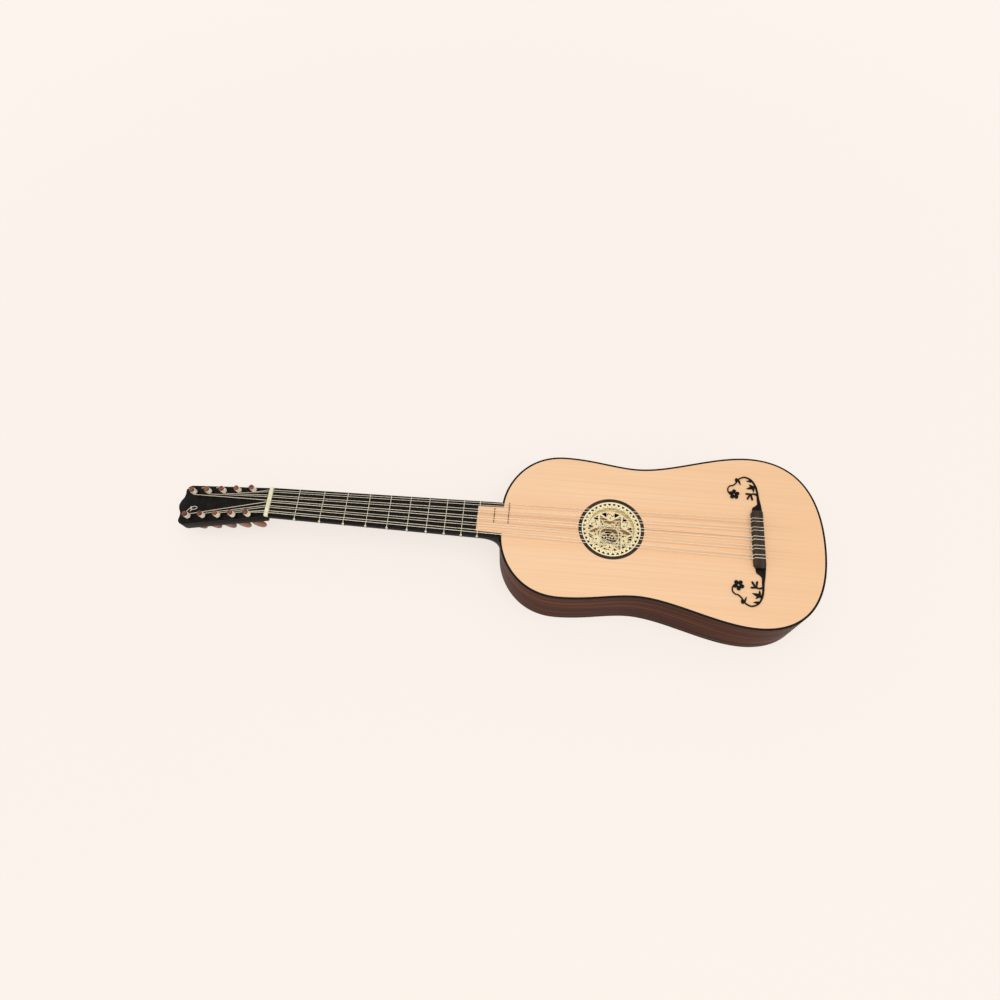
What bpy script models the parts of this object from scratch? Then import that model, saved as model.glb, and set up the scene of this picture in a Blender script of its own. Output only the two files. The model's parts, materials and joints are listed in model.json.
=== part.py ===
# Baroque guitar with five double courses, tied frets and a sunk rose.
# Lengths are in metres. X runs from the head to the tail, +Y is the treble side, +Z is up.
# While it is modelled, x is 0 at the front of the nut and z is 0 at the top of the soundboard.
# The empty called guitar then moves all of it, so that the origin is below the middle, under the back.

import math

import bmesh
import bpy
from mathutils import Vector
from mathutils.geometry import delaunay_2d_cdt

# Fit between glued or let-in pieces
FIT_GAP = 0.0003

# Strings
STRING_LENGTH = 0.680
COURSE_STRING_DIAMETERS = (0.00065, 0.00075, 0.0009, 0.0008, 0.0009)
NUT_COURSE_PITCH = 0.0081
NUT_PAIR_SPACING = 0.0028
BRIDGE_COURSE_PITCH = 0.0137
BRIDGE_PAIR_SPACING = 0.0048
STRING_HEIGHT_AT_NUT = 0.0022
STRING_HEIGHT_AT_BRIDGE = 0.0055
WINDING_TURNS = 2.25
WINDING_GAP = 0.0005
WINDING_HEIGHT = 0.0070
POINTS_PER_TURN = 10
TIE_END_LENGTH = 0.0012
TIE_CORNER = 0.0002

# Body outline, as distances from the neck joint, and half widths
NECK_LENGTH = 0.3295
BODY_LENGTH = 0.4529
BODY_DEPTH = 0.085
SHOULDER_HALF = 0.0212
UPPER_BOUT_AT = 0.0871
UPPER_BOUT_HALF = 0.1084
WAIST_AT = 0.1912
WAIST_HALF = 0.0981
LOWER_BOUT_AT = 0.3528
LOWER_BOUT_HALF = 0.1291

# How far each curve of the outline runs straight on from its ends
SHOULDER_REACH = 0.0335
UPPER_BOUT_REACH = (0.0606, 0.0430)
WAIST_REACH = (0.0303, 0.0495)
LOWER_BOUT_REACH = (0.0524, 0.0546)
TAIL_REACH = 0.0977
OUTLINE_STEPS = (7, 5, 6, 8)

# Body shell
TOP_THICKNESS = 0.0024
BACK_THICKNESS = 0.0024
RIB_THICKNESS = 0.0020
BINDING_WIDTH = 0.0028
LINING_WIDTH = 0.0050
LINING_HEIGHT = 0.0080
NECK_BLOCK_HALF = 0.0260
NECK_BLOCK_LENGTH = 0.0380
TAIL_BLOCK_HALF = 0.0220
TAIL_BLOCK_LENGTH = 0.0160
BAR_WIDTH = 0.0050
BAR_HEIGHT = 0.0120
BAR_END_HEIGHT = 0.0060
BAR_TAPER = 0.0300
ROSE_TO_BAR = 0.0580
BACK_BARS_AT = (0.1100, 0.2700)

# Neck and fingerboard
NECK_HALF_AT_NUT = 0.0225
NECK_HALF_AT_BODY = 0.0275
NECK_DEPTH_AT_NUT = 0.0185
NECK_DEPTH_AT_BODY = 0.0225
HEEL_LENGTH = 0.0265
HEEL_DEPTH = 0.0800
NECK_ROUNDNESS = 0.80
NECK_SIDES = 10
NECK_STRAIGHT_FROM = 0.0200
HEEL_STEPS = 7
TONGUE_LENGTH = 0.0335
TONGUE_HALF_AT_TIP = 0.0192
TONGUE_HALF_AT_BODY = 0.0202
NUT_THICKNESS = 0.0055
NUT_HEIGHT = 0.0026
NUT_SLOT_CLEARANCE = 0.0003

# Frets
FRET_COUNT = 12
FRET_DIAMETER = 0.0009
FRET_TRAVEL = 0.0030
FRET_SEAT_GAP = 0.00035
FRET_KNOT_SCALE = 1.9
BODY_FRET_WIDTH = 0.0012
BODY_FRET_HEIGHT = 0.0009
BODY_FRET_SLOT_DEPTH = 0.0010
BODY_FRET_BASS_REACH = 0.0045
BODY_FRET_BORDER = 0.0022

# Head and pegs, along the tilted face of the head
HEAD_TILT = math.radians(14.0)
HEAD_LENGTH = 0.1535
HEAD_HALF_AT_NUT = 0.0225
HEAD_HALF_AT_END = 0.0315
HEAD_THICKNESS = 0.0140
VENEER_THICKNESS = 0.0015
# The carved crest from shoulder to middle: distances short of the end, and shares of the half width
HEAD_CREST_INSETS = (0.0145, 0.0090, 0.0055, 0.0062, 0.0055, 0.0018, 0.0)
HEAD_CREST_SHARES = (1.00, 0.94, 0.78, 0.58, 0.40, 0.20, 0.00)
PEGS_PER_ROW = 5
FIRST_PEG_AT = 0.0310
PEG_PITCH = 0.0250
PEG_ROW_HALF = 0.0195
PEG_TIP_HEIGHT = 0.0130
PEG_TIP_RADIUS = 0.0031
PEG_SHAFT_RADIUS = 0.0036
PEG_COLLAR_RADIUS = 0.0050
PEG_COLLAR_LENGTH = 0.0030
PEG_THUMB_LENGTH = 0.0240
PEG_THUMB_HALF_WIDTH = 0.0105
PEG_THUMB_HALF_THICKNESS = 0.0030
PEG_CLEARANCE = 0.0002
PEG_SIDES = 10
# The thumb piece, from its neck to its end: share of its length, width and thickness
PEG_THUMB_SHAPE = (
    (0.26, 0.72, 1.00),
    (0.50, 1.00, 0.97),
    (0.74, 0.96, 0.83),
    (0.93, 0.62, 0.62),
    (1.00, 0.22, 0.35),
)
PEG_THUMB_NECK = 0.0014

# Bridge
BRIDGE_HALF_LENGTH = 0.0430
BRIDGE_END_TAPER = 0.0035
BRIDGE_END_DROP = 0.0024
BRIDGE_END_SETBACK = 0.0025
BRIDGE_WIDTH = 0.0155
BRIDGE_FOOT = 0.0015
BRIDGE_FOOT_HEIGHT = 0.0018
BRIDGE_HEIGHT = 0.0085
BRIDGE_EDGE = 0.0009
STRING_HOLE_SIDES = 8

# Moustache at each end of the bridge
MOUSTACHE_THICKNESS = 0.0018
FLOWER_RADIUS = 0.0077
FLOWER_EYE_RADIUS = 0.0013
PETAL_COUNT = 5
PETAL_SHAPE = (1.0, 0.93, 0.52, 0.93)
LEAF_SHAPE = ((0.0, 0.30), (0.22, 0.80), (0.45, 1.0), (0.75, 0.62), (1.0, 0.10))

# Rose, sunk in three tiers
ROSE_AT = 0.1555
ROSE_RADIUS = 0.0414
RING_RADIUS = 0.0460
RING_THICKNESS = 0.0009
ROSE_CARD = 0.0008
ROSE_WALL = 0.0008
SECOND_TIER_RADIUS = 0.0330
SECOND_TIER_DEPTH = 0.0135
THIRD_TIER_DEPTH = 0.0245
CUP_RADIUS = 0.0130
CUP_FLOOR_DEPTH = 0.0380
STAR_POINT_RADIUS = 0.0300
STAR_NOTCH_RADIUS = 0.0173
STAR_POINTS = 6
EDGING_TRIANGLES = 36
EDGING_OPEN_SHARE = 0.72
EDGING_BORDER = 0.0004
STAR_WALL = (0.0016, 0.0009)
STAR_RIM = 0.0012
STAR_FIELD_ANGLES = [math.radians(angle) for angle in (22.5, 12.5, 14.5)]
STAR_FIELD_DEPTH = 0.0048
STAR_FIELD_TIP_INSET = 0.0006
SCROLL_AT = (0.0046, math.radians(5.5))
SCROLL_RADIUS = 0.0021
SCROLL_WIDTH = 0.0011
SCROLL_START = 0.9
SCROLL_SWEEP = 3.4
SCROLL_STEPS = 4
STAR_WEDGE_BORDER = (0.0027, 0.0085)
STAR_WEDGE_HALF_ANGLE = 0.10
CUP_BORDER = 0.0008
CUP_WEDGE_LENGTH = 0.0036
CUP_WEDGE_AT = math.radians(16.0)
CUP_WEDGE_HALF_ANGLE = math.radians(7.0)
CUP_DOT_AT = 0.0070
CUP_DOT_RADIUS = 0.0016
CUP_EYE_RADIUS = 0.0017
CUP_GAP_WEDGE = (0.0052, 0.0112, 0.42)
ROUNDEL_COUNT = 3
ROUNDEL_AT = 0.0066
ROUNDEL_TURN = math.radians(30.0)
ROUNDEL_DOT_AT = 0.0023
ROUNDEL_DOT_RADIUS = 0.0013
CIRCLE_SIDES = 36
DOT_SIDES = 6


def clear_scene():
    for old in list(bpy.data.objects):
        bpy.data.objects.remove(old)


def make_material(name, color, roughness, metallic=0.0):
    material = bpy.data.materials.new(name)
    material.use_nodes = True
    shader = material.node_tree.nodes["Principled BSDF"]
    shader.inputs["Base Color"].default_value = (*color, 1.0)
    shader.inputs["Roughness"].default_value = roughness
    shader.inputs["Metallic"].default_value = metallic
    material.diffuse_color = (*color, 1.0)
    return material


def make_empty(name, parent=None, location=(0, 0, 0), rotation=(0, 0, 0)):
    empty = bpy.data.objects.new(name, None)
    bpy.context.collection.objects.link(empty)
    empty.parent = parent
    empty.location = location
    empty.rotation_euler = rotation
    return empty


def add_mesh(name, mesh, material, parent, location=(0, 0, 0), rotation=(0, 0, 0), smooth=False):
    data = bpy.data.meshes.new(name)
    mesh.to_mesh(data)
    mesh.free()
    data.materials.append(material)
    if smooth:
        data.shade_smooth()
        data.set_sharp_from_angle(angle=math.radians(40))
    piece = bpy.data.objects.new(name, data)
    bpy.context.collection.objects.link(piece)
    piece.parent = parent
    piece.location = location
    piece.rotation_euler = rotation
    return piece


def turns_left(loop):
    area = 0.0
    for (x0, y0), (x1, y1) in zip(loop, loop[1:] + loop[:1]):
        area += x0 * y1 - x1 * y0
    return area > 0


def terraced(shapes, holes, levels):
    # Fills the overlapping shapes less the holes. Each shape has its own bottom and top level,
    # and where shapes overlap, the later one in the list counts.
    points = []
    loops = []
    for loop in list(shapes) + list(holes):
        loops.append(list(range(len(points), len(points) + len(loop))))
        points += [Vector((x, y)) for x, y in (loop if turns_left(loop) else loop[::-1])]
    places, _, triangles, _, _, sources = delaunay_2d_cdt(points, [], loops, 1, 1e-7)
    kept = [
        (list(triangle), max(source))
        for triangle, source in zip(triangles, sources)
        if source and max(source) < len(shapes)
    ]
    mesh = bmesh.new()
    made = {}

    def corner(index, level):
        key = (index, round(level, 7))
        if key not in made:
            made[key] = mesh.verts.new((places[index].x, places[index].y, level))
        return made[key]

    neighbours = {}
    for triangle, shape in kept:
        for a, b in zip(triangle, triangle[1:] + triangle[:1]):
            neighbours[(a, b)] = shape
    for triangle, shape in kept:
        bottom, top = levels[shape]
        mesh.faces.new([corner(index, top) for index in triangle])
        mesh.faces.new([corner(index, bottom) for index in reversed(triangle)])
        for a, b in zip(triangle, triangle[1:] + triangle[:1]):
            other = neighbours.get((b, a))
            if other is None:
                walls = [(bottom, top)]
            else:
                other_bottom, other_top = levels[other]
                walls = [(other_top, top), (bottom, other_bottom)]
            for low, high in walls:
                if high - low > 1e-6:
                    mesh.faces.new([corner(a, low), corner(b, low), corner(b, high), corner(a, high)])
    return mesh


def plate(name, loop, bottom, top, material, parent, **place):
    return add_mesh(name, terraced([loop], [], [(bottom, top)]), material, parent, **place)


def loft(sections):
    # Joins closed sections of equal length into one solid with flat ends.
    mesh = bmesh.new()
    rows = [[mesh.verts.new(point) for point in section] for section in sections]
    for row, following in zip(rows, rows[1:]):
        count = len(row)
        for index in range(count):
            after = (index + 1) % count
            mesh.faces.new([row[index], row[after], following[after], following[index]])
    mesh.faces.new(rows[0])
    mesh.faces.new(rows[-1])
    bmesh.ops.recalc_face_normals(mesh, faces=mesh.faces[:])
    return mesh


def tube(name, points, diameter, material, parent, scales=None, closed=False, location=(0, 0, 0)):
    curve = bpy.data.curves.new(name, "CURVE")
    curve.dimensions = "3D"
    curve.bevel_depth = diameter / 2
    curve.bevel_resolution = 1
    curve.use_fill_caps = not closed
    curve.resolution_u = 1
    curve.render_resolution_u = 0
    spline = curve.splines.new("POLY")
    spline.points.add(len(points) - 1)
    for index, point in enumerate(points):
        spline.points[index].co = (*point, 1.0)
        spline.points[index].radius = scales[index] if scales else 1.0
    spline.use_cyclic_u = closed
    curve.materials.append(material)
    piece = bpy.data.objects.new(name, curve)
    bpy.context.collection.objects.link(piece)
    piece.parent = parent
    piece.location = location
    return piece


def circle(radius, sides, center=(0.0, 0.0), start=0.0):
    return [
        (
            center[0] + radius * math.cos(start + math.tau * step / sides),
            center[1] + radius * math.sin(start + math.tau * step / sides),
        )
        for step in range(sides)
    ]


def polar(radius, angle):
    return (radius * math.cos(angle), radius * math.sin(angle))


def mirrored(points):
    return [(x, -y) for x, y in reversed(points)]


# The body's outline
def outline_curves():
    start = NECK_LENGTH
    upper = start + UPPER_BOUT_AT
    waist = start + WAIST_AT
    lower = start + LOWER_BOUT_AT
    tail = start + BODY_LENGTH
    shoulder_to_upper = (
        (start, SHOULDER_HALF),
        (start, SHOULDER_HALF + SHOULDER_REACH),
        (upper - UPPER_BOUT_REACH[0], UPPER_BOUT_HALF),
        (upper, UPPER_BOUT_HALF),
    )
    upper_to_waist = (
        (upper, UPPER_BOUT_HALF),
        (upper + UPPER_BOUT_REACH[1], UPPER_BOUT_HALF),
        (waist - WAIST_REACH[0], WAIST_HALF),
        (waist, WAIST_HALF),
    )
    waist_to_lower = (
        (waist, WAIST_HALF),
        (waist + WAIST_REACH[1], WAIST_HALF),
        (lower - LOWER_BOUT_REACH[0], LOWER_BOUT_HALF),
        (lower, LOWER_BOUT_HALF),
    )
    lower_to_tail = (
        (lower, LOWER_BOUT_HALF),
        (lower + LOWER_BOUT_REACH[1], LOWER_BOUT_HALF),
        (tail, TAIL_REACH),
        (tail, 0.0),
    )
    return shoulder_to_upper, upper_to_waist, waist_to_lower, lower_to_tail


def treble_outline(inset):
    # The treble half from shoulder to tail, moved inwards by the inset, square to the curve.
    points = []
    for corners, steps in zip(outline_curves(), OUTLINE_STEPS):
        a, b, c, d = (Vector(corner) for corner in corners)
        first = 1 if points else 0
        for step in range(first, steps + 1):
            t = step / steps
            u = 1 - t
            place = a * u**3 + b * 3 * u * u * t + c * 3 * u * t * t + d * t**3
            heading = ((b - a) * u * u + (c - b) * 2 * u * t + (d - c) * t * t).normalized()
            points.append((place.x + heading.y * inset, place.y - heading.x * inset))
    return points


def body_loop(inset):
    half = treble_outline(inset)
    return half + mirrored(half[:-1])


def half_width_at(x, inset):
    half = treble_outline(inset)
    for (x0, y0), (x1, y1) in zip(half, half[1:]):
        if x0 <= x <= x1:
            return y0 + (y1 - y0) * (x - x0) / (x1 - x0)
    return 0.0


def crossing(points, limit):
    # The first place where the line passes y = limit, and the index of the point after it.
    for index in range(1, len(points)):
        (x0, y0), (x1, y1) = points[index - 1], points[index]
        if (y0 - limit) * (y1 - limit) <= 0 and y0 != y1:
            share = (limit - y0) / (y1 - y0)
            return (x0 + (x1 - x0) * share, limit), index
    return points[0], 1


def between_blocks(inset):
    # The inset outline from the neck block's side to the tail block's side.
    half = treble_outline(inset)
    front, first = crossing(half, NECK_BLOCK_HALF + FIT_GAP)
    tail, last = crossing(half[::-1], TAIL_BLOCK_HALF + FIT_GAP)
    return [front] + half[first : len(half) - last] + [tail]


# The shell of the body
def make_soundboard(wood, parent):
    inset = BINDING_WIDTH + FIT_GAP
    half = treble_outline(inset)
    tip = NECK_LENGTH - TONGUE_LENGTH
    tongue = [(tip, -TONGUE_HALF_AT_TIP), (tip, TONGUE_HALF_AT_TIP), (half[0][0], TONGUE_HALF_AT_BODY)]
    outer = half + mirrored(half[:-1]) + [(half[0][0], -TONGUE_HALF_AT_BODY)] + tongue
    rose_x = NECK_LENGTH + ROSE_AT
    recess = circle(RING_RADIUS + FIT_GAP, CIRCLE_SIDES, (rose_x, 0.0))
    opening = circle(ROSE_RADIUS, CIRCLE_SIDES, (rose_x, 0.0))
    slots = [body_fret_plan(number, FIT_GAP) for number in body_fret_numbers()]
    levels = [(-TOP_THICKNESS, 0.0), (-TOP_THICKNESS, -RING_THICKNESS - FIT_GAP)]
    levels += [(-TOP_THICKNESS, -BODY_FRET_SLOT_DEPTH)] * len(slots)
    mesh = terraced([outer, recess] + slots, [opening], levels)
    return add_mesh("soundboard", mesh, wood, parent)


def make_back(wood, parent):
    loop = body_loop(BINDING_WIDTH + FIT_GAP)
    return plate("back", loop, -BODY_DEPTH, -BODY_DEPTH + BACK_THICKNESS, wood, parent)


def make_side(name, side, wood, parent):
    seam = FIT_GAP / 2
    outer = treble_outline(0.0)
    inner = treble_outline(RIB_THICKNESS)
    outer = [(outer[0][0], seam)] + outer[:-1] + [(outer[-1][0], seam)]
    inner = [(inner[0][0], seam)] + inner[:-1] + [(inner[-1][0], seam)]
    loop = [(x, y * side) for x, y in outer + inner[::-1]]
    bottom = -BODY_DEPTH + BACK_THICKNESS + FIT_GAP
    return plate(name, loop, bottom, -TOP_THICKNESS - FIT_GAP, wood, parent)


def make_binding_top(wood, parent):
    # As deep as the soundboard, and open at the front, where its tongue passes on to the neck.
    outer = treble_outline(0.0)
    inner = treble_outline(BINDING_WIDTH)
    end = TONGUE_HALF_AT_BODY + FIT_GAP
    outer = [(outer[0][0], end)] + outer
    inner = [(inner[0][0], end)] + inner
    loop = outer + mirrored(outer[:-1]) + [(x, -y) for x, y in inner[:-1]] + inner[::-1]
    return plate("binding_top", loop, -TOP_THICKNESS, 0.0, wood, parent)


def make_binding_back(wood, parent):
    levels = [(-BODY_DEPTH, -BODY_DEPTH + BACK_THICKNESS)]
    mesh = terraced([body_loop(0.0)], [body_loop(BINDING_WIDTH)], levels)
    return add_mesh("binding_back", mesh, wood, parent)


def make_lining(name, side, bottom, wood, parent):
    outer = between_blocks(RIB_THICKNESS + FIT_GAP)
    inner = between_blocks(RIB_THICKNESS + FIT_GAP + LINING_WIDTH)
    loop = [(x, y * side) for x, y in outer + inner[::-1]]
    return plate(name, loop, bottom, bottom + LINING_HEIGHT, wood, parent)


def make_blocks(wood, parent):
    bottom = -BODY_DEPTH + BACK_THICKNESS + FIT_GAP
    top = -TOP_THICKNESS - FIT_GAP
    half = treble_outline(RIB_THICKNESS + FIT_GAP)
    corner, index = crossing(half, NECK_BLOCK_HALF)
    inner_end = half[0][0] + NECK_BLOCK_LENGTH
    side = half[:index] + [corner, (inner_end, NECK_BLOCK_HALF)]
    plate("neck_block", side + mirrored(side), bottom, top, wood, parent)
    corner, index = crossing(half[::-1], TAIL_BLOCK_HALF)
    inner_end = half[-1][0] - TAIL_BLOCK_LENGTH
    side = [(inner_end, TAIL_BLOCK_HALF), corner] + half[len(half) - index : -1]
    plate("tail_block", side + [half[-1]] + mirrored(side), bottom, top, wood, parent)


def make_bar(name, x, level, upright, wood, parent):
    # A bar across the body, lower towards its ends, on the soundboard or on the back.
    inset = RIB_THICKNESS + 2 * FIT_GAP + LINING_WIDTH
    half = min(half_width_at(x - BAR_WIDTH / 2, inset), half_width_at(x + BAR_WIDTH / 2, inset))
    profile = [
        (-half, 0.0),
        (-half, BAR_END_HEIGHT),
        (-half + BAR_TAPER, BAR_HEIGHT),
        (half - BAR_TAPER, BAR_HEIGHT),
        (half, BAR_END_HEIGHT),
        (half, 0.0),
    ]
    profile = [(y, z * upright) for y, z in profile]
    turn = (math.pi / 2, 0.0, math.pi / 2)
    place = (x, 0.0, level)
    return plate(name, profile, -BAR_WIDTH / 2, BAR_WIDTH / 2, wood, parent, location=place, rotation=turn)


# The neck, its fingerboard and its nut
def neck_half_at(x):
    return NECK_HALF_AT_NUT + (NECK_HALF_AT_BODY - NECK_HALF_AT_NUT) * x / NECK_LENGTH


def neck_depth_at(x):
    depth = NECK_DEPTH_AT_NUT + (NECK_DEPTH_AT_BODY - NECK_DEPTH_AT_NUT) * x / NECK_LENGTH
    along_heel = (x - (NECK_LENGTH - HEEL_LENGTH)) / HEEL_LENGTH
    if along_heel > 0:
        drop = 1 - math.sqrt(max(0.0, 1 - along_heel**2))
        depth += (HEEL_DEPTH - depth) * drop
    return depth


def neck_profile(x, grow=0.0):
    # The round underside at x, from the treble edge to the bass edge, moved outwards by grow.
    half = neck_half_at(x)
    top = -TOP_THICKNESS - FIT_GAP
    drop = neck_depth_at(x) + top
    points = []
    for step in range(NECK_SIDES + 1):
        angle = math.pi * step / NECK_SIDES
        across = math.cos(angle)
        down = math.sin(angle)
        y = half * math.copysign(abs(across) ** NECK_ROUNDNESS, across)
        z = top - drop * down**NECK_ROUNDNESS
        normal = Vector((across / half, -down / drop)).normalized()
        points.append((y + normal.x * grow, z + normal.y * grow))
    return points


def head_joint_at():
    # Where the slanted joint lies, measured along the face of the head.
    return NUT_THICKNESS * math.cos(HEAD_TILT) + TOP_THICKNESS * math.sin(HEAD_TILT) + FIT_GAP


def make_neck(wood, parent):
    heel_start = NECK_LENGTH - HEEL_LENGTH
    stations = [NECK_STRAIGHT_FROM, heel_start]
    for step in range(1, HEEL_STEPS):
        stations.append(heel_start + HEEL_LENGTH * math.sin(math.pi / 2 * step / HEEL_STEPS))
    stations.append(NECK_LENGTH - FIT_GAP)
    joint_x = -head_joint_at() / math.cos(HEAD_TILT)
    joint = [(joint_x - z * math.tan(HEAD_TILT), y, z) for y, z in neck_profile(0.0)]
    sections = [joint] + [[(x, y, z) for y, z in neck_profile(x)] for x in stations]
    return add_mesh("neck", loft(sections), wood, parent, smooth=True)


def make_fingerboard(wood, parent):
    # Flush with the soundboard, whose tongue it holds between two strips.
    front = FIT_GAP
    end = NECK_LENGTH - FIT_GAP
    tip = NECK_LENGTH - TONGUE_LENGTH - FIT_GAP
    side = [
        (front, neck_half_at(front)),
        (end, neck_half_at(end)),
        (end, TONGUE_HALF_AT_BODY + FIT_GAP),
        (tip, TONGUE_HALF_AT_TIP + FIT_GAP),
    ]
    return plate("fingerboard", side + mirrored(side), -TOP_THICKNESS, 0.0, wood, parent)


def string_place(number):
    # Strings 0 to 9 from bass to treble: their y at the nut and at the bridge, and their diameter.
    courses = len(COURSE_STRING_DIAMETERS)
    course = number // 2
    middle = course - (courses - 1) / 2
    pair = (number % 2) - 0.5
    at_nut = middle * NUT_COURSE_PITCH + pair * NUT_PAIR_SPACING
    at_bridge = middle * BRIDGE_COURSE_PITCH + pair * BRIDGE_PAIR_SPACING
    return at_nut, at_bridge, COURSE_STRING_DIAMETERS[courses - 1 - course]


def string_count():
    return 2 * len(COURSE_STRING_DIAMETERS)


def make_nut(bone, parent):
    half = NECK_HALF_AT_NUT
    profile = [(half, -TOP_THICKNESS), (half, NUT_HEIGHT)]
    for number in reversed(range(string_count())):
        y, _, diameter = string_place(number)
        slot_half = diameter / 2 + NUT_SLOT_CLEARANCE
        floor = STRING_HEIGHT_AT_NUT - slot_half
        profile += [(y + slot_half, NUT_HEIGHT), (y + slot_half, floor)]
        profile += [(y - slot_half, floor), (y - slot_half, NUT_HEIGHT)]
    profile += [(-half, NUT_HEIGHT), (-half, -TOP_THICKNESS)]
    turn = (math.pi / 2, 0.0, math.pi / 2)
    return plate("nut", profile, -NUT_THICKNESS, 0.0, bone, parent, rotation=turn)


# Frets
def fret_at(number):
    return STRING_LENGTH * (1 - 2 ** (-number / 12))


def tied_fret_count():
    # The frets that can slide on the straight part of the neck. The others are let into the top.
    room = NECK_LENGTH - HEEL_LENGTH - FRET_TRAVEL - FRET_DIAMETER / 2
    fitting = [number for number in range(1, FRET_COUNT + 1) if fret_at(number) <= room]
    return len(fitting)


def body_fret_numbers():
    return range(tied_fret_count() + 1, FRET_COUNT + 1)


def make_tied_fret(number, gut, parent):
    # A loop of gut round the neck, with its knot at the bass edge.
    x = fret_at(number)
    reach = FRET_SEAT_GAP + FRET_DIAMETER / 2
    half = neck_half_at(x)
    knot = reach + FRET_DIAMETER / 2 * (FRET_KNOT_SCALE - 1)
    diagonal = reach * math.sqrt(0.5)
    under = neck_profile(x, reach)
    corner = [(half, reach), (half + diagonal, diagonal), (half + reach, 0.0)]
    path = corner + under + [(-half - knot, -TOP_THICKNESS / 2)]
    path += [(-y, z) for y, z in reversed(corner)]
    scales = [1.0] * len(path)
    scales[len(corner) + len(under)] = FRET_KNOT_SCALE
    points = [(0.0, y, z) for y, z in path]
    place = (x, 0.0, 0.0)
    tube("tied_fret_%d" % number, points, FRET_DIAMETER, gut, parent, scales, closed=True, location=place)


def tongue_half_at(x):
    share = min(1.0, (x - (NECK_LENGTH - TONGUE_LENGTH)) / TONGUE_LENGTH)
    return TONGUE_HALF_AT_TIP + (TONGUE_HALF_AT_BODY - TONGUE_HALF_AT_TIP) * share


def body_fret_plan(number, gap=0.0):
    # On the body it is as long as the neck is wide, and on the tongue it stops short of the edge.
    x = fret_at(number)
    on_body = x - BODY_FRET_BORDER > NECK_LENGTH + BINDING_WIDTH + FIT_GAP
    high = neck_half_at(x) if on_body else tongue_half_at(x) - BODY_FRET_BORDER
    low = -BODY_FRET_BASS_REACH
    half = BODY_FRET_WIDTH / 2 + gap
    return [(x - half, low - gap), (x + half, low - gap), (x + half, high + gap), (x - half, high + gap)]


def make_body_frets(wood, parent):
    bottom = -BODY_FRET_SLOT_DEPTH + FIT_GAP
    for number in body_fret_numbers():
        plan = body_fret_plan(number)
        plate("body_fret_%d" % number, plan, bottom, BODY_FRET_HEIGHT, wood, parent)


# Head and pegs, in the frame of the tilted face: x is minus the distance from the nut
def head_plan():
    side = [(-head_joint_at() - FIT_GAP, HEAD_HALF_AT_NUT)]
    for short, share in zip(HEAD_CREST_INSETS, HEAD_CREST_SHARES):
        side.append((short - HEAD_LENGTH, HEAD_HALF_AT_END * share))
    return side + mirrored(side[:-1])


def peg_places():
    # Pegs 0 to 4 are the bass row and 5 to 9 the treble row, each from the nut outwards.
    places = []
    for side in (-1, 1):
        for step in range(PEGS_PER_ROW):
            places.append((FIRST_PEG_AT + step * PEG_PITCH, side * PEG_ROW_HALF))
    return places


def make_head(wood, veneer_wood, parent):
    hole = (PEG_SHAFT_RADIUS + PEG_CLEARANCE) / math.cos(math.pi / PEG_SIDES)
    holes = [circle(hole, PEG_SIDES, (-s, y)) for s, y in peg_places()]
    head_top = -VENEER_THICKNESS - FIT_GAP
    mesh = terraced([head_plan()], holes, [(head_top - HEAD_THICKNESS, head_top)])
    add_mesh("head", mesh, wood, parent)
    mesh = terraced([head_plan()], holes, [(-VENEER_THICKNESS, 0.0)])
    add_mesh("head_veneer", mesh, veneer_wood, parent)


def peg_mesh():
    # Round tip and tapered shaft, then a collar behind the head and a flat thumb piece.
    back = -VENEER_THICKNESS - FIT_GAP - HEAD_THICKNESS - FIT_GAP
    collar_end = back - PEG_COLLAR_LENGTH
    round_stations = [
        (PEG_TIP_HEIGHT, PEG_TIP_RADIUS * 0.5),
        (PEG_TIP_HEIGHT - PEG_TIP_RADIUS * 0.3, PEG_TIP_RADIUS * 0.9),
        (PEG_TIP_HEIGHT - PEG_TIP_RADIUS * 0.8, PEG_TIP_RADIUS),
        (back, PEG_SHAFT_RADIUS),
        (back, PEG_COLLAR_RADIUS),
        (collar_end, PEG_COLLAR_RADIUS),
        (collar_end - PEG_THUMB_NECK, PEG_SHAFT_RADIUS),
    ]
    stations = [(z, radius, radius) for z, radius in round_stations]
    for along, width, thickness in PEG_THUMB_SHAPE:
        z = collar_end - PEG_THUMB_LENGTH * along
        stations.append((z, PEG_THUMB_HALF_WIDTH * width, PEG_THUMB_HALF_THICKNESS * thickness))
    sections = []
    for z, along, across in stations:
        sections.append([(x * along, y * across, z) for x, y in circle(1.0, PEG_SIDES)])
    return loft(sections)


def make_pegs(wood, parent):
    for number, (s, y) in enumerate(peg_places()):
        name = "peg_%d" % (number + 1)
        add_mesh(name, peg_mesh(), wood, parent, location=(-s, y, 0.0), smooth=True)


def from_head(s, y, height):
    # A place over the tilted face, in the guitar's frame.
    x = -s * math.cos(HEAD_TILT) - height * math.sin(HEAD_TILT)
    z = -s * math.sin(HEAD_TILT) + height * math.cos(HEAD_TILT)
    return (x, y, z)


# Strings: tied round the bridge, over the nut and wound on the pegs
def peg_of_string(number):
    # The outermost string of each side goes to the peg nearest the nut.
    half = string_count() // 2
    if number < half:
        return number
    return half + (string_count() - 1 - number)


def bridge_tie(y, radius):
    # From its loose end in front, back over the bridge and down, then forward through the hole.
    over = BRIDGE_HEIGHT + FIT_GAP + radius
    front = STRING_LENGTH
    behind = STRING_LENGTH + BRIDGE_WIDTH + FIT_GAP + radius
    hole = STRING_HEIGHT_AT_BRIDGE
    return [
        (front - TIE_END_LENGTH, y, over),
        (front + BRIDGE_WIDTH - BRIDGE_EDGE, y, over),
        (behind - TIE_CORNER, y, over - BRIDGE_EDGE),
        (behind, y, hole + BRIDGE_EDGE),
        (behind - BRIDGE_EDGE, y, hole),
        (front - FIT_GAP, y, hole),
    ]


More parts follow.
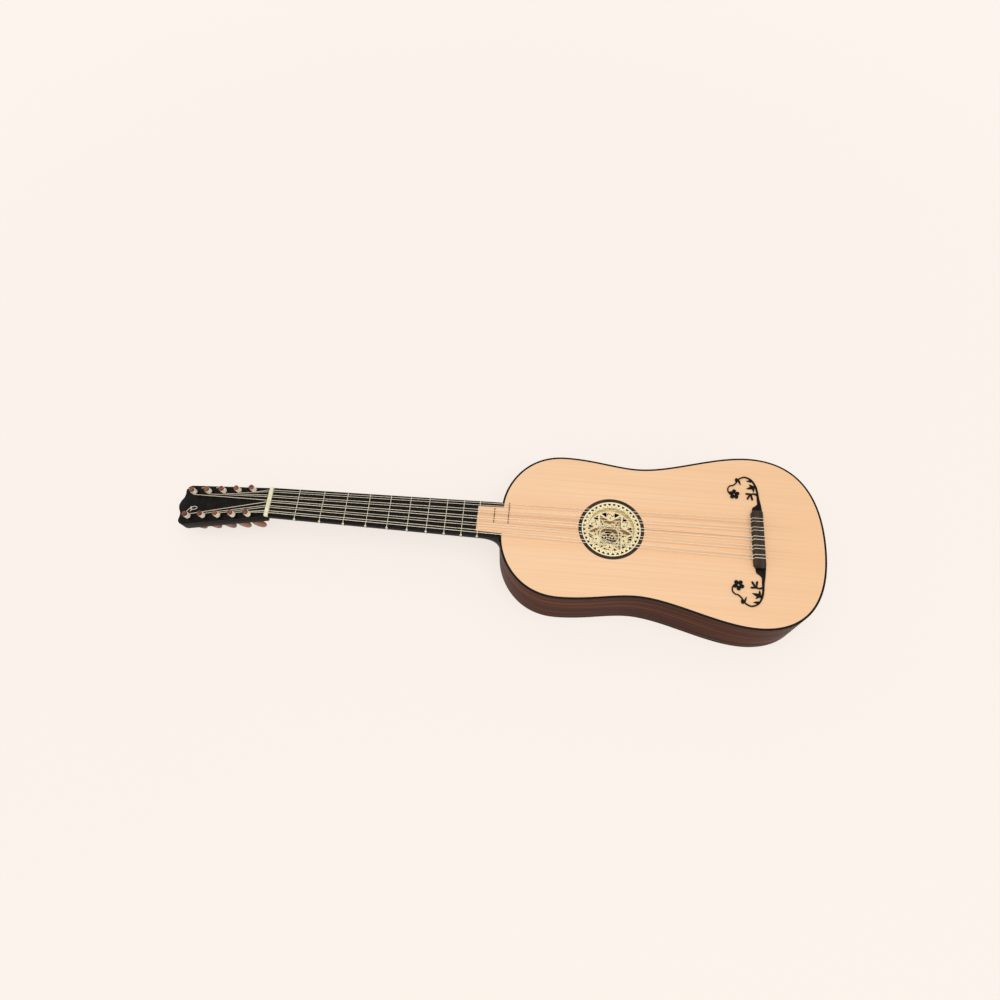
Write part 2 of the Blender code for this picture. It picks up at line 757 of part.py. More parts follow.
def peg_winding(nut_s, nut_y, nut_height, peg, radius):
    # The run meets the winding's circle at a tangent, and the winding climbs towards the tip.
    s, y = peg_places()[peg]
    side = 1.0 if y > 0 else -1.0
    turn_radius = PEG_TIP_RADIUS + (PEG_SHAFT_RADIUS - PEG_TIP_RADIUS) / 2 + FIT_GAP + radius
    to_nut = Vector((nut_s - s, nut_y - y))
    spread = math.acos(turn_radius / to_nut.length)
    start = math.atan2(to_nut.y, to_nut.x) + side * spread
    rise = 2 * radius + WINDING_GAP
    steps = round(WINDING_TURNS * POINTS_PER_TURN)
    points = []
    for step in range(steps + 1):
        angle = start + side * math.tau * step / POINTS_PER_TURN
        height = WINDING_HEIGHT + rise * step / POINTS_PER_TURN
        points.append((s + turn_radius * math.cos(angle), y + turn_radius * math.sin(angle), height))
    last = Vector(points[-1])
    heading = (last - Vector(points[-2])).normalized()
    points.append(tuple(last + heading * 4 * radius))
    return points


def winding_gap(points, radius):
    # The least gap of a winding to itself, between points at least half a turn apart.
    least = 1.0
    for index, point in enumerate(points):
        for other in points[index + POINTS_PER_TURN // 2 + 1 :]:
            least = min(least, (Vector(point) - Vector(other)).length - 2 * radius)
    return least


def make_strings(gut, parent):
    least = 1.0
    for number in range(string_count()):
        nut_y, bridge_y, diameter = string_place(number)
        radius = diameter / 2
        behind_nut = -NUT_THICKNESS - FIT_GAP
        nut_z = STRING_HEIGHT_AT_NUT
        nut_s = -behind_nut * math.cos(HEAD_TILT) - nut_z * math.sin(HEAD_TILT)
        nut_height = -behind_nut * math.sin(HEAD_TILT) + nut_z * math.cos(HEAD_TILT)
        winding = peg_winding(nut_s, nut_y, nut_height, peg_of_string(number), radius)
        least = min(least, winding_gap(winding, radius))
        points = bridge_tie(bridge_y, radius)
        points += [(FIT_GAP, nut_y, nut_z), (behind_nut, nut_y, nut_z)]
        points += [from_head(*place) for place in winding]
        tube("string_%d" % (number + 1), points, diameter, gut, parent)
    print("least gap of a winding to itself: %.2f mm" % (least * 1000))


# Bridge
def make_bridge(wood, parent):
    front = STRING_LENGTH
    back = STRING_LENGTH + BRIDGE_WIDTH
    base = FIT_GAP
    height = BRIDGE_HEIGHT
    edge = BRIDGE_EDGE
    full = [
        (front, base),
        (front, height - edge),
        (front + edge, height),
        (back - edge, height),
        (back, height - edge),
        (back, BRIDGE_FOOT_HEIGHT + FIT_GAP),
        (back + BRIDGE_FOOT, BRIDGE_FOOT_HEIGHT),
        (back + BRIDGE_FOOT, base),
    ]
    low_height = height - BRIDGE_END_DROP
    low_front = front + BRIDGE_END_SETBACK
    low = [(max(x, low_front), min(z, low_height)) for x, z in full]
    low[2] = (low_front + edge, low_height + edge / 2)
    low[3] = (back - edge, low_height + edge / 2)
    length = BRIDGE_HALF_LENGTH
    inner = length - BRIDGE_END_TAPER
    # A section between each two strings keeps every hole inside one face
    across = [string_place(number)[1] for number in range(string_count())]
    stations = [(-length, low), (-inner, full)]
    stations += [((a + b) / 2, full) for a, b in zip(across, across[1:])]
    stations += [(inner, full), (length, low)]
    sections = [[(x, y, z) for x, z in profile] for y, profile in stations]
    bridge = add_mesh("bridge", loft(sections), wood, parent)

    # One hole for each string, from front to back
    cutters = bmesh.new()
    for number in range(string_count()):
        _, y, diameter = string_place(number)
        radius = (diameter / 2 + FIT_GAP) / math.cos(math.pi / STRING_HOLE_SIDES)
        made = bmesh.ops.create_cone(
            cutters,
            cap_ends=True,
            segments=STRING_HOLE_SIDES,
            radius1=radius,
            radius2=radius,
            depth=BRIDGE_WIDTH * 2,
        )
        for vert in made["verts"]:
            x, across, z = vert.co
            vert.co = (front + BRIDGE_WIDTH / 2 + z, y + across, STRING_HEIGHT_AT_BRIDGE - x)
    holes = add_mesh("string_holes", cutters, wood, parent)
    holes.hide_render = True
    holes.display_type = "WIRE"
    cut = bridge.modifiers.new("string_holes", "BOOLEAN")
    cut.operation = "DIFFERENCE"
    cut.solver = "EXACT"
    cut.object = holes
    return bridge


# Moustaches: a scrolled stem with leaves, a branch of three lobes and a flower at its end
ROOT = ((0.0025, FIT_GAP), (0.0168, FIT_GAP), (0.0164, 0.0030), (0.0034, 0.0060))
STEM = (
    (0.0100, 0.0034, 0.0142),
    (0.0117, 0.0077, 0.0090),
    (0.0127, 0.0122, 0.0050),
    (0.0121, 0.0188, 0.0037),
    (0.0117, 0.0250, 0.0030),
    (0.0110, 0.0330, 0.0027),
    (0.0089, 0.0417, 0.0025),
    (0.0036, 0.0502, 0.0023),
    (-0.0045, 0.0541, 0.0020),
    (-0.0104, 0.0527, 0.0019),
    (-0.0147, 0.0495, 0.0019),
    (-0.0180, 0.0439, 0.0018),
    (-0.0226, 0.0396, 0.0017),
    (-0.0263, 0.0388, 0.0017),
    (-0.0291, 0.0363, 0.0017),
    (-0.0302, 0.0325, 0.0017),
    (-0.0294, 0.0283, 0.0017),
    (-0.0262, 0.0248, 0.0018),
)
FLOWER_CENTER = (-0.0215, 0.0255)
BRANCH = (
    ((0.0114, 0.0262, 0.0024), (0.0065, 0.0283, 0.0022), (0.0015, 0.0268, 0.0022)),
    ((0.0035, 0.0275, 0.0018), (-0.0010, 0.0275, 0.0026), (-0.0043, 0.0277, 0.0024)),
    ((0.0015, 0.0272, 0.0016), (-0.0008, 0.0235, 0.0026), (-0.0028, 0.0200, 0.0026)),
    ((0.0022, 0.0272, 0.0016), (0.0030, 0.0228, 0.0026), (0.0038, 0.0192, 0.0026)),
)
LEAVES = (
    ((0.0098, 0.0400), (-0.0039, 0.0356), 0.0050),
    ((0.0068, 0.0378), (0.0003, 0.0432), 0.0034),
    ((0.0062, 0.0385), (0.0063, 0.0308), 0.0030),
    ((0.0062, 0.0482), (-0.0032, 0.0484), 0.0034),
    ((-0.0171, 0.0516), (-0.0174, 0.0430), 0.0042),
    ((-0.0150, 0.0500), (-0.0116, 0.0411), 0.0026),
)


def smooth_line(stations, steps):
    # A round line through the stations, each a place and a width.
    places = [Vector(station) for station in stations]
    places = [places[0] * 2 - places[1]] + places + [places[-1] * 2 - places[-2]]
    line = []
    for a, b, c, d in zip(places, places[1:], places[2:], places[3:]):
        for step in range(steps):
            t = step / steps
            bend = (c - a) * t + (a * 2 - b * 5 + c * 4 - d) * t * t + (b * 3 - a - c * 3 + d) * t**3
            line.append(b + bend / 2)
    line.append(places[-2])
    return line


def ribbon(stations, steps=2, round_end=True):
    line = smooth_line(stations, steps)
    left = []
    right = []
    for index, place in enumerate(line):
        before = line[max(index - 1, 0)]
        after = line[min(index + 1, len(line) - 1)]
        heading = Vector((after.x - before.x, after.y - before.y)).normalized()
        half = place.z / 2
        left.append((place.x - heading.y * half, place.y + heading.x * half))
        right.append((place.x + heading.y * half, place.y - heading.x * half))
        if round_end and index == len(line) - 1:
            left.append((place.x + heading.x * half, place.y + heading.y * half))
    return left + right[::-1]


def leaf(stem, tip, width):
    start = Vector(stem)
    along = Vector(tip) - start
    across = Vector((-along.y, along.x)).normalized() * width / 2
    left = [start + along * share + across * side for share, side in LEAF_SHAPE]
    right = [start + along * share - across * side for share, side in LEAF_SHAPE]
    return [tuple(place) for place in left + right[::-1]]


def flower():
    points = []
    steps = len(PETAL_SHAPE) * PETAL_COUNT
    for step in range(steps):
        angle = math.tau * step / steps + math.pi / 2
        x, y = polar(FLOWER_RADIUS * PETAL_SHAPE[step % len(PETAL_SHAPE)], angle)
        points.append((FLOWER_CENTER[0] + x, FLOWER_CENTER[1] + y))
    return points


def make_moustache(name, side, wood, parent):
    shapes = [ROOT, ribbon(STEM, round_end=False), flower()]
    shapes += [ribbon(lobe) for lobe in BRANCH]
    shapes += [leaf(*shape) for shape in LEAVES]
    eye = circle(FLOWER_EYE_RADIUS, DOT_SIDES, FLOWER_CENTER)
    shapes = [[(x, y * side) for x, y in shape] for shape in shapes]
    eye = [(x, y * side) for x, y in eye]
    levels = [(FIT_GAP, MOUSTACHE_THICKNESS)] * len(shapes)
    mesh = terraced(shapes, [eye], levels)
    bmesh.ops.dissolve_limit(
        mesh, angle_limit=math.radians(1.0), verts=mesh.verts[:], edges=mesh.edges[:]
    )
    place = (STRING_LENGTH, side * BRIDGE_HALF_LENGTH, 0.0)
    return add_mesh(name, mesh, wood, parent, location=place)


# Rose
def wedge(radius_in, radius_out, angle, half_angle, points_out):
    # A small triangle between two radii, with its point outwards or inwards.
    base, point = (radius_in, radius_out) if points_out else (radius_out, radius_in)
    return [polar(base, angle - half_angle), polar(base, angle + half_angle), polar(point, angle)]


def scroll(center_radius, angle, side):
    # A curl of even width round a point of the rose.
    middle = Vector(polar(center_radius, angle))
    outer = []
    inner = []
    for step in range(SCROLL_STEPS + 1):
        bend = angle + side * (SCROLL_START + SCROLL_SWEEP * step / SCROLL_STEPS)
        outer.append(tuple(middle + Vector(polar(SCROLL_RADIUS + SCROLL_WIDTH / 2, bend))))
        inner.append(tuple(middle + Vector(polar(SCROLL_RADIUS - SCROLL_WIDTH / 2, bend))))
    return outer + inner[::-1]


def star(point_radius, notch_radius):
    points = []
    for step in range(STAR_POINTS):
        points.append(polar(point_radius, math.tau * step / STAR_POINTS))
        points.append(polar(notch_radius, math.tau * (step + 0.5) / STAR_POINTS))
    return points


def make_rose(ring_wood, card, parent):
    center = (NECK_LENGTH + ROSE_AT, 0.0, 0.0)
    ring = circle(RING_RADIUS, CIRCLE_SIDES)
    mesh = terraced([ring], [circle(ROSE_RADIUS, CIRCLE_SIDES)], [(-RING_THICKNESS, 0.0)])
    add_mesh("rose_ring", mesh, ring_wood, parent, location=center)
    make_upper_tier(card, parent, center)
    make_star_tier(card, parent, center)
    make_cup_tier(card, parent, center)


def make_upper_tier(card, parent, center):
    # A pierced edging with a rim in the opening and a wall down to the star.
    rim = ROSE_RADIUS - FIT_GAP
    edging_out = rim - ROSE_WALL
    edging_in = SECOND_TIER_RADIUS + ROSE_WALL
    top = -FIT_GAP
    wall_bottom = -SECOND_TIER_DEPTH + FIT_GAP
    shapes = [circle(radius, CIRCLE_SIDES) for radius in (rim, edging_out, edging_in)]
    levels = [(-TOP_THICKNESS, top), (top - ROSE_CARD, top), (wall_bottom, top)]
    holes = [circle(SECOND_TIER_RADIUS, CIRCLE_SIDES)]
    middle = (edging_out + edging_in) / 2
    for step in range(EDGING_TRIANGLES):
        angle = math.tau * (step + 0.5) / EDGING_TRIANGLES
        between = angle + math.pi / EDGING_TRIANGLES
        half = EDGING_OPEN_SHARE * math.pi / EDGING_TRIANGLES
        holes.append(wedge(middle + EDGING_BORDER, edging_out - EDGING_BORDER, angle, half, False))
        holes.append(wedge(edging_in + EDGING_BORDER, middle - EDGING_BORDER, between, half, True))
    add_mesh("rose_upper", terraced(shapes, holes, levels), card, parent, location=center)


def make_star_tier(card, parent, center):
    top = -SECOND_TIER_DEPTH
    wall_bottom = -THIRD_TIER_DEPTH + FIT_GAP
    outer = circle(SECOND_TIER_RADIUS + ROSE_WALL, CIRCLE_SIDES)
    star_wall = star(STAR_POINT_RADIUS + STAR_WALL[0], STAR_NOTCH_RADIUS + STAR_WALL[1])
    holes = [star(STAR_POINT_RADIUS, STAR_NOTCH_RADIUS)]
    edge = SECOND_TIER_RADIUS - STAR_RIM
    tip_at, near_at, deep_at = STAR_FIELD_ANGLES
    wedge_in = STAR_NOTCH_RADIUS + STAR_WEDGE_BORDER[0]
    wedge_out = edge - STAR_WEDGE_BORDER[1]
    for step in range(STAR_POINTS):
        middle = math.tau * (step + 0.5) / STAR_POINTS
        for side in (-1, 1):
            tip = polar(edge - STAR_FIELD_TIP_INSET, middle + side * tip_at)
            near = polar(edge, middle + side * near_at)
            deep = polar(edge - STAR_FIELD_DEPTH, middle + side * deep_at)
            holes.append([tip, near, deep])
            holes.append(scroll(edge - SCROLL_AT[0], middle + side * SCROLL_AT[1], side))
        holes.append(wedge(wedge_in, wedge_out, middle, STAR_WEDGE_HALF_ANGLE, False))
    levels = [(top - ROSE_CARD, top), (wall_bottom, top)]
    add_mesh("rose_lower", terraced([outer, star_wall], holes, levels), card, parent, location=center)


def make_cup_tier(card, parent, center):
    # The star-shaped third tier with its round cup, whose floor holds three pierced roundels.
    top = -THIRD_TIER_DEPTH
    floor_top = -CUP_FLOOR_DEPTH
    floor_bottom = floor_top - ROSE_CARD
    shapes = [
        star(STAR_POINT_RADIUS + STAR_WALL[0], STAR_NOTCH_RADIUS + STAR_WALL[1]),
        circle(CUP_RADIUS + ROSE_WALL, CIRCLE_SIDES // 2),
        circle(CUP_RADIUS, CIRCLE_SIDES // 2),
    ]
    levels = [(top - ROSE_CARD, top), (floor_bottom, top), (floor_bottom, floor_top)]
    holes = [circle(CUP_EYE_RADIUS, DOT_SIDES)]
    wedge_in = CUP_RADIUS + ROSE_WALL + CUP_BORDER
    wedge_out = wedge_in + CUP_WEDGE_LENGTH
    for step in range(STAR_POINTS):
        angle = math.tau * step / STAR_POINTS
        holes.append(circle(CUP_DOT_RADIUS, DOT_SIDES, polar(CUP_RADIUS + CUP_DOT_AT, angle)))
        for side in (-1, 1):
            corner = angle + side * CUP_WEDGE_AT
            holes.append(wedge(wedge_in, wedge_out, corner, CUP_WEDGE_HALF_ANGLE, True))
    gap_in, gap_out, gap_half = CUP_GAP_WEDGE
    for step in range(ROUNDEL_COUNT):
        angle = ROUNDEL_TURN + math.tau * step / ROUNDEL_COUNT
        holes.append(wedge(gap_in, gap_out, angle + math.pi / ROUNDEL_COUNT, gap_half, False))
        middle = Vector(polar(ROUNDEL_AT, angle))
        for part in range(ROUNDEL_COUNT):
            dot = middle + Vector(polar(ROUNDEL_DOT_AT, angle + math.tau * part / ROUNDEL_COUNT))
            holes.append(circle(ROUNDEL_DOT_RADIUS, DOT_SIDES, tuple(dot)))
    add_mesh("rose_cup", terraced(shapes, holes, levels), card, parent, location=center)


def build():
    clear_scene()
    spruce = make_material("spruce", (0.92, 0.60, 0.33), 0.42)
    rosewood = make_material("rosewood", (0.10, 0.035, 0.02), 0.35)
    ebony = make_material("ebony", (0.02, 0.018, 0.016), 0.38)
    bridge_wood = make_material("stained_pear", (0.035, 0.03, 0.025), 0.45)
    neck_wood = make_material("stained_maple", (0.03, 0.025, 0.02), 0.35)
    plain_spruce = make_material("plain_spruce", (0.70, 0.48, 0.28), 0.6)
    peg_wood = make_material("plum", (0.25, 0.09, 0.035), 0.35)
    bone = make_material("bone", (0.75, 0.70, 0.40), 0.35)
    card = make_material("parchment", (0.80, 0.72, 0.46), 0.6)
    gut = make_material("gut", (0.78, 0.75, 0.68), 0.3)
    fret_wood = make_material("walnut", (0.20, 0.08, 0.035), 0.5)

    head_top = -HEAD_LENGTH * math.cos(HEAD_TILT)
    middle = (NECK_LENGTH + BODY_LENGTH + head_top) / 2
    guitar = make_empty("guitar", location=(-middle, 0.0, BODY_DEPTH))
    head_face = make_empty("head_face", parent=guitar, rotation=(0.0, -HEAD_TILT, 0.0))

    make_soundboard(spruce, guitar)
    make_back(rosewood, guitar)
    make_side("side_bass", -1, rosewood, guitar)
    make_side("side_treble", 1, rosewood, guitar)
    make_binding_top(ebony, guitar)
    make_binding_back(ebony, guitar)
    make_blocks(plain_spruce, guitar)
    under_top = -TOP_THICKNESS - FIT_GAP
    over_back = -BODY_DEPTH + BACK_THICKNESS + FIT_GAP
    for side, word in ((-1, "bass"), (1, "treble")):
        make_lining("lining_top_" + word, side, under_top - LINING_HEIGHT, plain_spruce, guitar)
        make_lining("lining_back_" + word, side, over_back, plain_spruce, guitar)
    rose_x = NECK_LENGTH + ROSE_AT
    upper_x, lower_x = [NECK_LENGTH + place for place in BACK_BARS_AT]
    make_bar("soundboard_bar_upper", rose_x - ROSE_TO_BAR, under_top, -1, plain_spruce, guitar)
    make_bar("soundboard_bar_lower", rose_x + ROSE_TO_BAR, under_top, -1, plain_spruce, guitar)
    make_bar("back_bar_upper", upper_x, over_back, 1, plain_spruce, guitar)
    make_bar("back_bar_lower", lower_x, over_back, 1, plain_spruce, guitar)

    make_neck(neck_wood, guitar)
    make_fingerboard(ebony, guitar)
    make_nut(bone, guitar)
    for number in range(1, tied_fret_count() + 1):
        make_tied_fret(number, gut, guitar)
    make_body_frets(fret_wood, guitar)
    make_head(neck_wood, ebony, head_face)
    make_pegs(peg_wood, head_face)
    make_strings(gut, guitar)
    make_bridge(bridge_wood, guitar)
    make_moustache("moustache_bass", -1, ebony, guitar)
    make_moustache("moustache_treble", 1, ebony, guitar)
    make_rose(ebony, card, guitar)
    bpy.context.view_layer.update()


build()
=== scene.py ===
import json
import math
import random

import bmesh
import bpy
from mathutils import Matrix, Vector
from mathutils.kdtree import KDTree


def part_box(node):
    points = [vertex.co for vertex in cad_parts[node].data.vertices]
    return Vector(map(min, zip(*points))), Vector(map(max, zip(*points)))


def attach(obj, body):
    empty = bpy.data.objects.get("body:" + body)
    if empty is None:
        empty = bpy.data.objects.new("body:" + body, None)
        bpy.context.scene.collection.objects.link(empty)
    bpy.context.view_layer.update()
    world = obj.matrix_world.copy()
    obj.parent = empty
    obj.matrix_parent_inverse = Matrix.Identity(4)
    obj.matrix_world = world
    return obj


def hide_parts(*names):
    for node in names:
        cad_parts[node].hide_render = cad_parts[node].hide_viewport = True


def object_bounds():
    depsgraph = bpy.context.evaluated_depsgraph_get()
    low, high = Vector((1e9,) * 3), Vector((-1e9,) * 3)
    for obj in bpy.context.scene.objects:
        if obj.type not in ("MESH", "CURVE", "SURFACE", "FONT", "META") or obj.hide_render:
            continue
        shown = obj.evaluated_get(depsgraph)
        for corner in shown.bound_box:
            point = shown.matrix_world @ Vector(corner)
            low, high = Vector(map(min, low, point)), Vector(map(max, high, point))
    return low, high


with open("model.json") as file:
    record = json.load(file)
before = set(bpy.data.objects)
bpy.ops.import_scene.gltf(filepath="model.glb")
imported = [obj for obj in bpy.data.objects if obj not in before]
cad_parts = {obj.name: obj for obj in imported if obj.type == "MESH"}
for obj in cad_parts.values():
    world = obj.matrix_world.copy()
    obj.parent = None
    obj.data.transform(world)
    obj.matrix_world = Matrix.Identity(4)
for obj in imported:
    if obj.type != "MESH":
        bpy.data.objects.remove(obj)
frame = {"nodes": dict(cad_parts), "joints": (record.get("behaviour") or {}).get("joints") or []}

# Baroque guitar lying on its back: five double courses, tied gut frets, pegs from behind, a sunk rose.
# Metres. X runs from the head to the tail, +Y is the treble side, +Z is up.

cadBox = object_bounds()

# Places that the frame gives
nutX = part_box("nut")[1].x  # front of the nut, where the strings begin to sound
topUnder, topZ = (corner.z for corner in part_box("soundboard"))
backZ, backTop = (corner.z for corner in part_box("back"))
jointX, tailX = (corner.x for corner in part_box("side_treble"))  # joint of neck and body, and the tail
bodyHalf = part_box("side_treble")[1].y
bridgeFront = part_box("bridge")[0].x
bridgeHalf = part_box("bridge")[1].y
roseX = sum(corner.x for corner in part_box("rose_ring")) / 2
turning = {joint["child"]: joint for joint in frame["joints"]}
pegAxis = Vector(turning["peg_1"]["axis"])
headTilt = -math.atan2(pegAxis.x, pegAxis.z)
headFace = Matrix.Translation((nutX, 0.0, topZ)) @ Matrix.Rotation(-headTilt, 4, "Y")

photoCamera = {
    "place": (0.05504, -0.43427, 1.06344),
    "looking": (-0.04252, 0.42916, -0.90223),
    "right": (0.99608, 0.08829, -0.00494),
    "lens": 27.33,
    "sensor": 36.0,
    "nearest": 0.01,
}


def addObject(name, data):
    made = bpy.data.objects.new(name, data)
    bpy.context.collection.objects.link(made)
    return made


def makeCamera():
    data = bpy.data.cameras.new("photoCamera")
    data.lens = photoCamera["lens"]
    data.sensor_width = photoCamera["sensor"]
    data.clip_start = photoCamera["nearest"]
    back = -Vector(photoCamera["looking"]).normalized()
    right = Vector(photoCamera["right"])
    right = (right - back * right.dot(back)).normalized()
    turn = Matrix((right, back.cross(right), back)).transposed().to_4x4()
    camera = addObject("photoCamera", data)
    camera.matrix_world = Matrix.Translation(photoCamera["place"]) @ turn
    bpy.context.scene.camera = camera


makeCamera()
print("camera set")


# Colours as a photo shows them, 0 to 255
def srgb(red, green, blue):
    linear = []
    for value in (red, green, blue):
        share = value / 255
        linear.append(share / 12.92 if share <= 0.04045 else ((share + 0.055) / 1.055) ** 2.4)
    return (*linear, 1.0)


# Small helpers for the materials' nodes
def addNode(tree, kind, values=None, **settings):
    made = tree.nodes.new("ShaderNode" + kind)
    for name, value in settings.items():
        setattr(made, name, value)
    for socket, value in (values or {}).items():
        if isinstance(value, bpy.types.NodeSocket):
            tree.links.new(value, made.inputs[socket])
        else:
            made.inputs[socket].default_value = value
    return made


def startMaterial(name, roughness, coat=0.0):
    material = bpy.data.materials.new(name)
    material.use_nodes = True
    tree = material.node_tree
    shader = tree.nodes["Principled BSDF"]
    shader.inputs["Roughness"].default_value = roughness
    shader.inputs["Coat Weight"].default_value = coat
    shader.inputs["Coat Roughness"].default_value = 0.2
    return material, tree, shader, addNode(tree, "TexCoord").outputs["Object"]


def finishMaterial(tree, shader, color, height, depth, strength):
    bump = addNode(tree, "Bump", {"Height": height, "Distance": depth, "Strength": strength})
    tree.links.new(color, shader.inputs["Base Color"])
    tree.links.new(bump.outputs[0], shader.inputs["Normal"])


def axes(tree, vector):
    return addNode(tree, "SeparateXYZ", {0: vector}).outputs


def calculated(tree, operation, first, second=0.0):
    return addNode(tree, "Math", {0: first, 1: second}, operation=operation).outputs[0]


def spread(tree, value, low, high):
    return addNode(tree, "MapRange", {"Value": value, "From Min": low, "From Max": high}).outputs[0]


def noise(tree, place, scale, detail=2.0, distortion=0.0):
    mapping = addNode(tree, "Mapping", {"Vector": place, "Scale": scale})
    values = {"Vector": mapping.outputs[0], "Scale": 1.0, "Detail": detail, "Distortion": distortion}
    return addNode(tree, "TexNoise", values).outputs["Fac"]


def noiseShare(tree, place, scale, detail, distortion, low, high):
    return spread(tree, noise(tree, place, scale, detail, distortion), low, high)


def ramp(tree, factor, stops, colors):
    made = addNode(tree, "ValToRGB", {"Fac": factor})
    elements = made.color_ramp.elements
    while len(elements) < len(stops):
        elements.new(0.5)
    for element, position, color in zip(elements, stops, colors):
        element.position = position
        element.color = color
    return made.outputs["Color"]


def mixed(tree, factor, first, second):
    return addNode(tree, "Mix", {0: factor, 6: first, 7: second}, data_type="RGBA").outputs[2]


def tinted(tree, color, share, strength, tint):
    return mixed(tree, calculated(tree, "MULTIPLY", share, strength), color, tint)


def matchedHalves(tree, place):
    # The two halves of a plate mirror each other at the middle joint
    along, across, height = axes(tree, place)
    values = {"X": along, "Y": calculated(tree, "ABSOLUTE", across), "Z": height}
    return addNode(tree, "CombineXYZ", values).outputs[0]


# Each noise gives its scale, detail and distortion, and the values that it is spread between
spruceLook = {
    "light": srgb(252, 211, 170),
    "ring": srgb(244, 199, 155),
    "warm": srgb(244, 193, 143),
    # Colour of the lines under the strings: partly grain, partly painted string shadow
    "streakAndStringShadow": srgb(214, 152, 106),
    "rings": ((1.6, 900.0, 60.0), 3.0, 0.0, 0.44, 0.66),
    "bands": ((0.9, 46.0, 8.0), 2.0, 0.0, 0.42, 0.75),
    "bandStrength": 0.35,
    "tailFrom": 0.05,
    "tailTo": 0.5,
    "tailStrength": 0.5,
    "streaksAndStringShadows": ((2.6, 380.0, 20.0), 2.0, 0.3, 0.52, 0.66),
    "streakAndShadowStrength": 0.85,
    "streakAndShadowHalfWidth": 0.040,
    "streakAndShadowStart": 0.08,
    "patches": ((7.0, 14.0, 10.0), 2.0, 0.0, 0.25, 0.8),
    "patchStrength": 0.22,
    "flames": ((60.0, 240.0, 40.0), 2.0, 0.6, 0.6, 0.8),
    "flameStrength": 0.10,
    "roughness": 0.42,
    "bump": (0.00004, 0.5),
}


def makeSpruce():
    # Two matched halves with fine straight grain, and darker lines near the middle joint under the
    # strings: partly grain, partly painted string shadow
    look = spruceLook
    material, tree, shader, place = startMaterial("spruceTop", look["roughness"])
    matched = matchedHalves(tree, place)
    along, across, _ = axes(tree, matched)
    rings = noiseShare(tree, matched, *look["rings"])
    color = mixed(tree, rings, look["light"], look["ring"])
    bands = noiseShare(tree, matched, *look["bands"])
    color = tinted(tree, color, bands, look["bandStrength"], look["warm"])
    towardsTail = spread(tree, along, look["tailFrom"], look["tailTo"])
    color = tinted(tree, color, towardsTail, look["tailStrength"], look["warm"])
    # Darker lines under the strings, partly grain and partly painted string shadow
    nearMiddle = spread(tree, across, look["streakAndShadowHalfWidth"], 0.0)
    beforeBridge = spread(tree, along, bridgeFront + look["streakAndShadowStart"], bridgeFront)
    streaksAndStringShadows = calculated(tree, "MULTIPLY", nearMiddle, beforeBridge)
    streaksAndStringShadows = calculated(tree, "MULTIPLY", streaksAndStringShadows, noiseShare(tree, place, *look["streaksAndStringShadows"]))
    color = tinted(tree, color, streaksAndStringShadows, look["streakAndShadowStrength"], look["streakAndStringShadow"])
    patches = noiseShare(tree, place, *look["patches"])
    color = tinted(tree, color, patches, look["patchStrength"], look["warm"])
    flames = noiseShare(tree, place, *look["flames"])
    color = tinted(tree, color, flames, look["flameStrength"], look["light"])
    finishMaterial(tree, shader, color, rings, *look["bump"])
    return material


# What a wood has unless its own look says otherwise
plainWood = {
    "roughness": 0.42,
    "coat": 0.0,
    "bump": 0.00003,
    "bumpStrength": 0.6,
    "shine": 0.1,
    "stops": (0.3, 0.5, 0.72),
    "poreScale": 4,
    "pores": (0.62, 0.74),
    "poreStrength": 0.6,
    "gloss": (0.08, -0.04),
}
# Colours from dark to light, scale and wander of the grain, and what differs from a plain wood
rosewood = {
    "colors": ((34, 15, 8), (78, 38, 20), (120, 64, 34)), "scale": (2.6, 130.0, 130.0),
    "wander": 0.25, "bump": 0.00005,
}
woodLooks = {
    "rosewoodSides": {**rosewood, "matched": True},
    "rosewoodRibs": {**rosewood, "shine": 0.03, "alongRib": True},
    "ebonyBlack": {
        "colors": ((4, 4, 3), (9, 8, 6), (22, 18, 14)), "scale": (14.0, 320.0, 320.0), "wander": 0.4,
    },
    "roseBorder": {
        "colors": ((30, 20, 16), (50, 34, 27), (72, 48, 38)), "scale": (90.0, 90.0, 90.0),
        "wander": 0.8, "shine": 0.2,
    },
    "bridgePear": {
        "colors": ((26, 18, 11), (44, 32, 22), (72, 55, 38)), "scale": (420.0, 12.0, 420.0),
        "wander": 0.2, "roughness": 0.48, "bump": 0.00008, "shine": 0.25,
    },
    "stainedMaple": {
        "colors": ((5, 4, 3), (10, 8, 6), (22, 16, 12)), "scale": (9.0, 160.0, 160.0),
        "wander": 0.8, "roughness": 0.4, "shine": 0.05,
    },
    "plumPegs": {
        "colors": ((74, 32, 20), (124, 62, 38), (168, 100, 66)), "scale": (260.0, 260.0, 24.0),
        "wander": 0.8, "roughness": 0.34, "coat": 0.15, "bump": 0.00004, "shine": 0.25,
        "browner": (150, 92, 40), "drift": ((38.0, 38.0, 10.0), 0.0, 0.0, 0.45, 0.6),
        "driftStrength": 0.6,
    },
    "walnutStrip": {
        "colors": ((70, 38, 24), (104, 62, 42), (130, 84, 58)), "scale": (300.0, 30.0, 300.0),
        "wander": 0.3, "roughness": 0.45, "shine": 0.3,
    },
    "innerSpruce": {
        "colors": ((190, 146, 98), (212, 172, 122), (226, 190, 142)), "scale": (12.0, 260.0, 260.0),
        "wander": 0.2, "roughness": 0.65, "bump": 0.00005, "shine": 0.4,
    },
}


